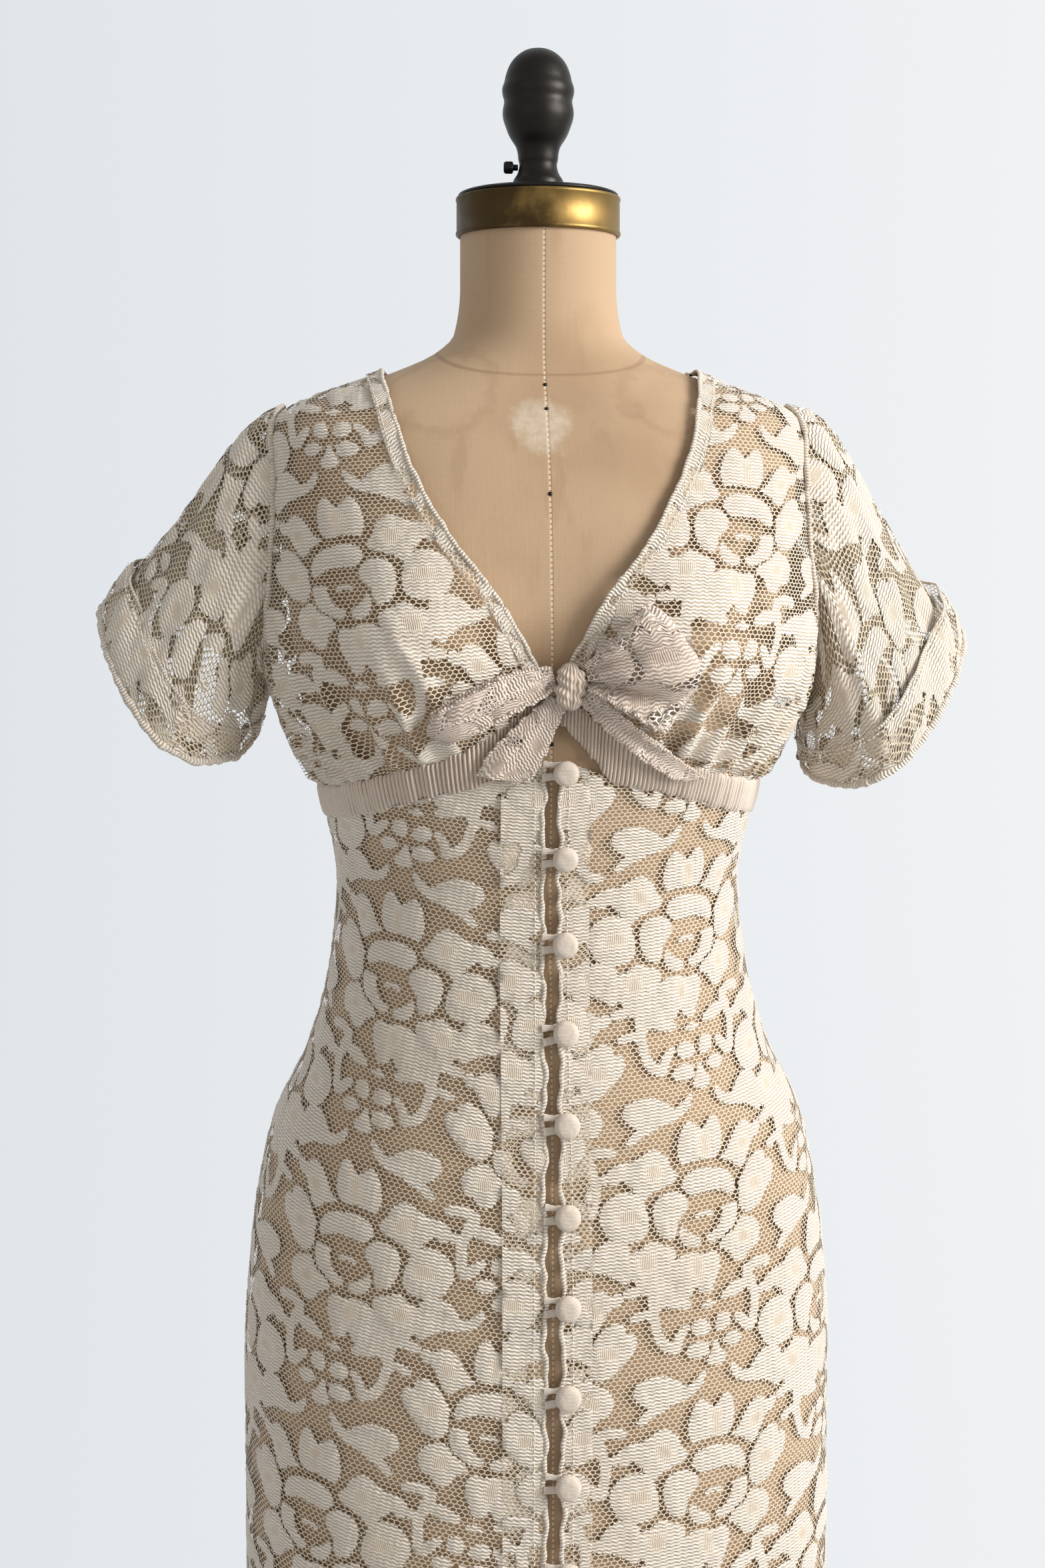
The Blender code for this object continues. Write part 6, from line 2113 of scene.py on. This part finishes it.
RIBBONS = {
    "bow_loop_l": Ribbon(
        (
            (0.0002, 1.1950, 0.0055, 0.0030), (-0.0250, 1.1880, 0.0095, 0.0026),
            (-0.0500, 1.1780, 0.0105, 0.0026), (-0.0660, 1.1705, 0.0100, 0.0040),
            (-0.0710, 1.1685, 0.0090, 0.0065), (-0.0660, 1.1705, 0.0100, 0.0090),
            (-0.0500, 1.1780, 0.0110, 0.0100), (-0.0250, 1.1880, 0.0100, 0.0096),
            (0.0002, 1.1950, 0.0060, 0.0070),
        ),
        True, 1.5, 0.0024, 0.6, (LaceLayer((0.030, 0.015), 12.0), LaceLayer((-0.020, 0.060), 80.0, 0.0007)),
    ),
    "bow_loop_r": Ribbon(
        (
            (0.0208, 1.1960, 0.0055, 0.0030), (0.0400, 1.1995, 0.0150, 0.0026),
            (0.0600, 1.2020, 0.0240, 0.0026), (0.0740, 1.2035, 0.0295, 0.0045),
            (0.0785, 1.2040, 0.0310, 0.0075), (0.0740, 1.2035, 0.0305, 0.0120),
            (0.0600, 1.2020, 0.0250, 0.0145), (0.0400, 1.1995, 0.0160, 0.0125),
            (0.0208, 1.1960, 0.0060, 0.0070),
        ),
        False, 2.3, 0.0056, 0.7, (LaceLayer((0.004, 0.118), 95.0),),
    ),
    "bow_tail_l": Ribbon(
        (
            (0.0028, 1.1818, 0.0050, 0.0065), (-0.0070, 1.1690, 0.0090, 0.0055),
            (-0.0160, 1.1570, 0.0125, 0.0060), (-0.0240, 1.1460, 0.0140, 0.0058),
            (-0.0300, 1.1370, 0.0130, 0.0052),
        ),
        True, 1.5, 0.0012, 1.5, (LaceLayer((0.020, 0.020), 40.0), LaceLayer((-0.030, 0.010), 20.0, 0.0007)),
    ),
    "bow_tail_r": Ribbon(
        (
            (0.0195, 1.1852, 0.0045, 0.0065), (0.0340, 1.1720, 0.0060, 0.0060),
            (0.0500, 1.1590, 0.0065, 0.0060), (0.0660, 1.1460, 0.0060, 0.0055),
            (0.0800, 1.1350, 0.0045, 0.0050),
        ),
        False, 1.0, 0.0016, 3.1, (LaceLayer((0.020, 0.030), 30.0), LaceLayer((0.000, 0.070), 10.0, 0.0007)),
    ),
}
KNOT_X = 0.0105


def bodice_face(figure: Figure, x: Array, height: Array, out: Array) -> Array:
    """Returns points at a distance off the outer face of the bodice's front."""
    turn = figure.turn_of(x, height)
    return figure.off(turn, height, figure.bodice_out(turn, height) + WALL + np.asarray(out))


@dataclass
class RibbonPanel(Panel):
    """The cloth of a loop or tail: a place on it is a share across, from -1 to 1, and a share along it.

    Args:
        name: The piece's name.
        figure: The body.
        ribbon: The loop or tail.
        rounding: How round a loop's fold is, as a share of its half width.
        fullness: How much wider the cloth is than its place.
    """

    name: str
    figure: Figure
    ribbon: Ribbon
    rounding: float = 0.60
    fullness: float = 1.3

    def __post_init__(self) -> None:
        """Measures the ribbon's run, and finds where a loop turns back."""
        self.facing = -1 if self.ribbon.flip else 1
        ties = self._ties = np.array(self.ribbon.ties)
        self._run = run_along(ties[:, [0, 1, 3]])
        self.length = float(self._run[-1])
        self._turn = int(np.argmax(np.abs(ties[:, 0] - KNOT_X)))
        self.looped = self._turn < len(ties) - 1
        spine = np.gradient(ties[:, :2], axis=0)
        if self.looped:
            spine[self._turn :] *= -1
            spine[self._turn] = ties[self._turn, :2] - ties[0, :2]
        self._spine = unit(spine)
        half = self.fullness * float(ties[:, 2].max()) + MM
        self.flat_box = (-half, half, 0.0, self.length)

    def unlay(self, flat: Array) -> tuple[Array, Array]:
        """Returns each flat point's shares across and along, and whether it is inside."""
        along = np.clip(flat[:, 1], 0, self.length)
        across = flat[:, 0] / (smooth_curve(along, self._run, self._ties[:, 2]) * self.fullness)
        inside = (np.abs(across) <= 1) & (flat[:, 1] >= 0) & (flat[:, 1] <= self.length)
        return np.stack([np.clip(across, -1, 1), along / self.length], axis=-1), inside

    def surface(self, place: Array, out: Array) -> Array:
        """Finds points of the ribbon, with the pleats drawn together at the knot.

        Args:
            place: Shares across and along it.
            out: How far off it the points are.

        Returns:
            The points in space.
        """
        ribbon, across = self.ribbon, place[..., 0]
        along = place[..., 1] * self.length
        x, height, half, off = (smooth_curve(along, self._run, column) for column in self._ties.T)
        way = unit(read_along(along, self._run, self._spine))
        beside = way[..., ::-1] * (-1, 1)
        ragged = 1 + 0.05 * np.sin(along * 700 + across) + 0.03 * np.sin(along * 1900 + 2)
        far = np.clip(np.abs(x - KNOT_X) / np.abs(self._ties[:, 0] - KNOT_X).max(), 0, 1)
        pleat = np.cos(np.pi * ribbon.pleats * across + ribbon.phase) * (0.55 + 0.45 * np.sin(np.pi * far))
        pleat = pleat + 0.45 * np.cos(3.1 * np.pi * across + 2.0 + ribbon.phase) * (1 - far)
        if self.looped:
            returned = along > self._run[self._turn]
            pleat, out = pleat * np.where(returned, 1.0, -0.35), out * np.where(returned, 1.0, -1.0)
            shift = -self.rounding * half * across**2 * far**2
        else:
            shift = 0.006 * ease(along, self.length - 0.010, self.length) * across * self.facing
        spot = np.stack([x, height], axis=-1) + beside * (across * half * ragged)[..., None]
        spot = spot + way * shift[..., None]
        lift = ribbon.depth * pleat - 0.0011 * np.abs(across) ** 5
        return bodice_face(self.figure, spot[..., 0], spot[..., 1], np.maximum(off + lift, 0.0008) + out)


@dataclass
class Bow(Workshop):
    """The bow at the centre front: two loops, two tails, the knot and the wrap under it.

    Args:
        knot_height: The height of the knot's middle.
        knot_half: Half the knot's width, depth and height.
    """

    knot_height: float = 1.1905
    knot_half: tuple[float, float, float] = (0.0095, 0.0060, 0.0140)

    def build(self) -> None:
        """Makes every piece of the bow."""
        for name, ribbon in RIBBONS.items():
            self._ribbon(name, ribbon)
        self._knot()

    def _ribbon(self, name: str, ribbon: Ribbon) -> None:
        """Makes a loop or tail of lace, with its edges rolled."""
        panel = RibbonPanel(name, self.figure, ribbon)
        mesh = Mesh()
        self.cloth.lay(panel, ribbon.lace, mesh)
        places = np.linspace(0, 1, 240)
        for edge, seed in ((-0.97, 11), (0.97, 12)):
            side = np.stack([0 * places + edge, places], axis=-1)
            Roll(0.0019, 0.0013, seed, 0.0009).add_to(mesh, *panel.along(side, 0.0))
        piece = mesh.build("lace_" + name, self.finishes.trim_net, self.finishes.trim)
        settle(piece, "lace_trim", "form", name)
        layers = len(ribbon.lace)
        layers * panel.cut_area()

    def _knot(self) -> None:
        """Makes the knot, wrapped round with ribs, and the short wrap of ribbon under it."""
        width, depth, tall = self.knot_half
        out = TRIM_WALL + 2 * LAYER_GAP + depth + 0.0010
        centre = bodice_face(self.figure, np.array(KNOT_X), np.array(self.knot_height), out)
        polar, turn = np.linspace(0, np.pi, 49)[:, None], np.linspace(0, 2 * np.pi, 65)[None, :]
        x, y, z = np.sin(polar) * np.cos(turn), np.sin(polar) * np.sin(turn), np.cos(polar) + 0 * turn
        pinch = 1 - 0.20 * np.exp(-(((z + 0.15 + 0.35 * x) / 0.22) ** 2))
        wraps = 1 + 0.085 * np.cos(15 * (z + 0.32 * x) + 0.8 * np.sin(3 * turn)) * np.sin(polar) ** 0.5
        creases = 1 - 0.24 * np.exp(-(((x - 0.25 - 0.5 * z) / 0.16) ** 2)) * (y < 0)
        size = pinch * wraps * creases
        points = centre + np.stack([x * width * size, y * depth * size, z * tall], axis=-1)
        mesh = Mesh()
        mesh.add_grid(points, np.stack([turn * width + 0 * polar, (z + 0.32 * x) * tall], axis=-1))
        self._wrap(mesh)
        settle(mesh.build("wrapped_bow_knot", self.finishes.ribbed), "lace_trim", "form", "bow_knot")

    def _wrap(self, mesh: Mesh) -> None:
        """Adds the ribbed stretch of ribbon that shows below the knot, across the top of the opening."""
        across, up = np.linspace(0, 1, 41)[None, :], np.linspace(0, 1, 17)[:, None]
        x = -0.0045 + 0.0260 * across + 0 * up
        sag = 0.0030 * np.sin(np.pi * across)
        height = 1.1765 + 0.0040 * across - sag + (0.0110 + 0.4 * sag) * up
        ribs = 0.00045 * np.cos(2 * np.pi * across * 9.5)
        out = 0.0014 + 0.0016 * np.sin(np.pi * up) ** 0.7 + 0.0010 * np.sin(np.pi * across) + ribs
        mesh.add_grid(bodice_face(self.figure, x, height, out), np.stack([height, x], axis=-1))


@dataclass
class Fastenings(Workshop):
    """Covered buttons down the right front edge, each in a loop from the left edge.

    Args:
        buttons: How many there are.
        first_height, step: The highest one's height, and how far apart they are.
        button_x: Their distance from the centre line.
        radius, dome: A button's radius, and its height over the shank.
        shank: The shank's radius and length.
        profile: Shares of the button's radius, each with its share of the dome.
        loop: The loop's strap.
        loop_half_height, loop_drop: Half the loop's height, and how far its ends drop back.
    """

    buttons: int = 14
    first_height: float = 1.1385
    step: float = 0.0510
    button_x: float = 0.0078
    radius: float = 0.0076
    dome: float = 0.0044
    shank: tuple[float, float] = (0.0020, 0.0026)
    profile: Profile = (
        (0.0, 1.0), (0.35, 0.99), (0.58, 0.95), (0.74, 0.86), (0.86, 0.70), (0.94, 0.50), (0.985, 0.30),
        (1.0, 0.12), (0.985, 0.0), (0.90, -0.08), (0.60, -0.10),
    )
    loop: Roll = Roll(0.0038, 0.0009, 13, 0.0009)
    loop_half_height: float = 0.0036
    loop_drop: float = 0.0018

    def build(self) -> None:
        """Makes the buttons and the loops."""
        numbers = [f"{number + 1:02d}" for number in range(self.buttons)]
        heights = self.first_height - self.step * np.arange(self.buttons)
        turns = self.figure.turn_of(np.full(self.buttons, self.button_x), heights)
        facing = self.figure.normal(turns, heights)
        middle = np.array([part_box("button_" + number) for number in numbers]).mean(axis=1)
        seats = middle - facing * (self.shank[1] + self.dome) / 2
        up = upright(facing)
        lean = np.random.default_rng(21).uniform(-0.10, 0.10, (self.buttons, 1))
        tilt = unit(up + lean * np.cross(up, facing))
        for name, node, made, top in (
            ("covered_buttons", "button_", self._button(), up),
            ("button_loops", "loop_", self._loop(), tilt),
        ):
            piece = self.copies.place(name, made, seats, facing, top, self.finishes.button)
            settle(piece, "covered_button", "form", *(node + number for number in numbers))

    def _button(self) -> Piece:
        """A button mould covered in cloth, its edge drawn in over the shank."""
        wide, tall = self.shank
        outline = [(share * self.radius, tall + rise * self.dome) for share, rise in self.profile]
        outline += [(wide, tall - 0.0002), (wide, 0.0), (0.0, 0.0)]
        return lathe("button", outline, 36, self.finishes.button)

    def _loop(self) -> Piece:
        """A flat strap from the front edge round the shank and back."""
        start = -(FRONT_EDGE + self.button_x) - 0.0006
        half = self.loop_half_height
        bend = np.radians(np.linspace(-90, 90, 13))
        route = np.concatenate([
            [(start, -half - 0.0004), (start * 0.6, -half), (start * 0.25, -half)],
            half * np.stack([np.cos(bend), np.sin(bend)], axis=-1),
            [(start * 0.25, half), (start * 0.6, half + 0.0002), (start, half + 0.0006)],
        ])
        run = run_along(route)
        path = read_along(np.linspace(0, run[-1], round(run[-1] / self.loop.step)), run, route)
        level = self.shank[1] / 2 - self.loop_drop * np.clip(path[:, 0] / start, 0, 1)
        mesh = Mesh()
        outward = np.tile([0.0, 0.0, 1.0], (len(path), 1))
        self.loop.add_to(mesh, np.column_stack([path, level]), outward, 0)
        return mesh.build("loop", self.finishes.button)


@dataclass
class Studio:
    """The round pale floor, the pale wall all round, the soft light and the camera at the photo's angle.

    Args:
        floor_radius, floor_sides: The floor's radius, and how many sides it has.
        camera_at, azimuth: Where the camera is, and its turn round +Z in degrees.
        lens, sensor: Its focal length and its picture's height, in millimetres.
        shift: How far its picture is shifted, as a share of that height.
    """

    floor_radius: float = 0.90
    floor_sides: int = 96
    camera_at: tuple[float, float, float] = (-0.0882, -1.1466, 1.316)
    azimuth: float = -4.4
    lens: float = 41.2
    sensor: float = 36.0
    shift: tuple[float, float] = (-0.010, -0.2024)

    def build(self) -> None:
        """Makes the floor, the wall, a large window light from the viewer's right, a fill and the camera."""
        self._floor()
        self._surround()
        self._light("window", (2.85, -1.6, 2.30), (0.0, 0.0, 1.05), (1.5, 1.7), 160.0, PALETTE.window)
        self._light("fill", (-2.2, -2.4, 1.8), (0.0, 0.0, 1.1), (2.0, 2.0), 4.0, PALETTE.fill)
        self._camera()

    def _floor(self) -> None:
        """A round pale floor, which ends just below the picture's lower edge."""
        floor = Shading("painted_floor", PALETTE.floor, 0.85)
        grain = floor.add(NOISE, {"Vector": floor.here, "Scale": 240.0, "Detail": 4.0})
        floor.set(normal=floor.add(BUMP, {"Height": grain, "Strength": 0.05, "Distance": 0.0004}))
        turns = np.linspace(0, 2 * np.pi, self.floor_sides, endpoint=False)
        rim = self.floor_radius * np.stack([np.cos(turns), np.sin(turns), 0 * turns], axis=-1)
        points = np.concatenate([[[0.0, 0.0, 0.0]], rim])
        first = np.arange(self.floor_sides)
        mesh = Mesh()
        faces = np.stack([0 * first, 1 + first, 1 + (first + 1) % len(first)], axis=-1)
        mesh.add(points, faces, points[:, :2])
        mesh.build("studio_floor", floor.material)

    @staticmethod
    def _surround() -> None:
        """A pale wall all round, brighter behind the dress and towards the window."""
        world = bpy.context.scene.world = bpy.data.worlds.new("studio")
        world.use_nodes = True
        tree = world.node_tree
        way = add_node(tree, "ShaderNodeTexCoord").outputs["Generated"]
        toward = add_node(tree, "ShaderNodeSeparateXYZ", (way,)).outputs
        colour = PALETTE.wall_bright
        for axis, low, high, far in (("X", -0.35, 0.35, PALETTE.wall), ("Y", -0.2, 0.6, PALETTE.room)):
            share = add_node(tree, RANGE, (toward[axis], low, high))
            colour = add_node(tree, MIX, (share, far, colour), data_type="RGBA")
        feed(tree, tree.nodes["Background"].inputs["Color"], colour)

    @staticmethod
    def _light(
        name: str, place: Sequence[float], target: Sequence[float], size: Sequence[float], power: float,
        colour: Colour,
    ) -> None:
        """Adds an area light.

        Args:
            name: Its name.
            place: Where it is.
            target: What it faces.
            size: Its width and height.
            power: Its power, in watts.
            colour: Its colour.
        """
        data = bpy.data.lights.new(name, "AREA")
        data.shape = "RECTANGLE"
        data.size, data.size_y = size
        data.energy = power
        data.color = colour[:3]
        lamp = link(name, data)
        lamp.location = place
        lamp.rotation_euler = (Vector(target) - Vector(place)).to_track_quat("-Z", "Y").to_euler()

    def _camera(self) -> None:
        """The camera, level at the neckline's height."""
        data = bpy.data.cameras.new("camera")
        data.sensor_fit = "VERTICAL"
        data.sensor_height = self.sensor
        data.lens = self.lens
        data.shift_x, data.shift_y = self.shift
        scene = bpy.context.scene
        camera = scene.camera = link("camera", data)
        camera.location = self.camera_at
        camera.rotation_euler = (math.radians(90), 0.0, math.radians(self.azimuth))
        scene.view_settings.view_transform = "Standard"


def main() -> None:
    """Builds the dress on its form and the studio round them."""
    logging.basicConfig(level=logging.INFO, format="%(name)s: %(message)s")
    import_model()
    kit = Figure(), Finishes(), Copies(), LaceCloth()
    for maker in (Form, Dress, Band, Bow, Fastenings):
        maker(*kit).build()
    Studio().build()


if __name__ == "__main__":
    main()
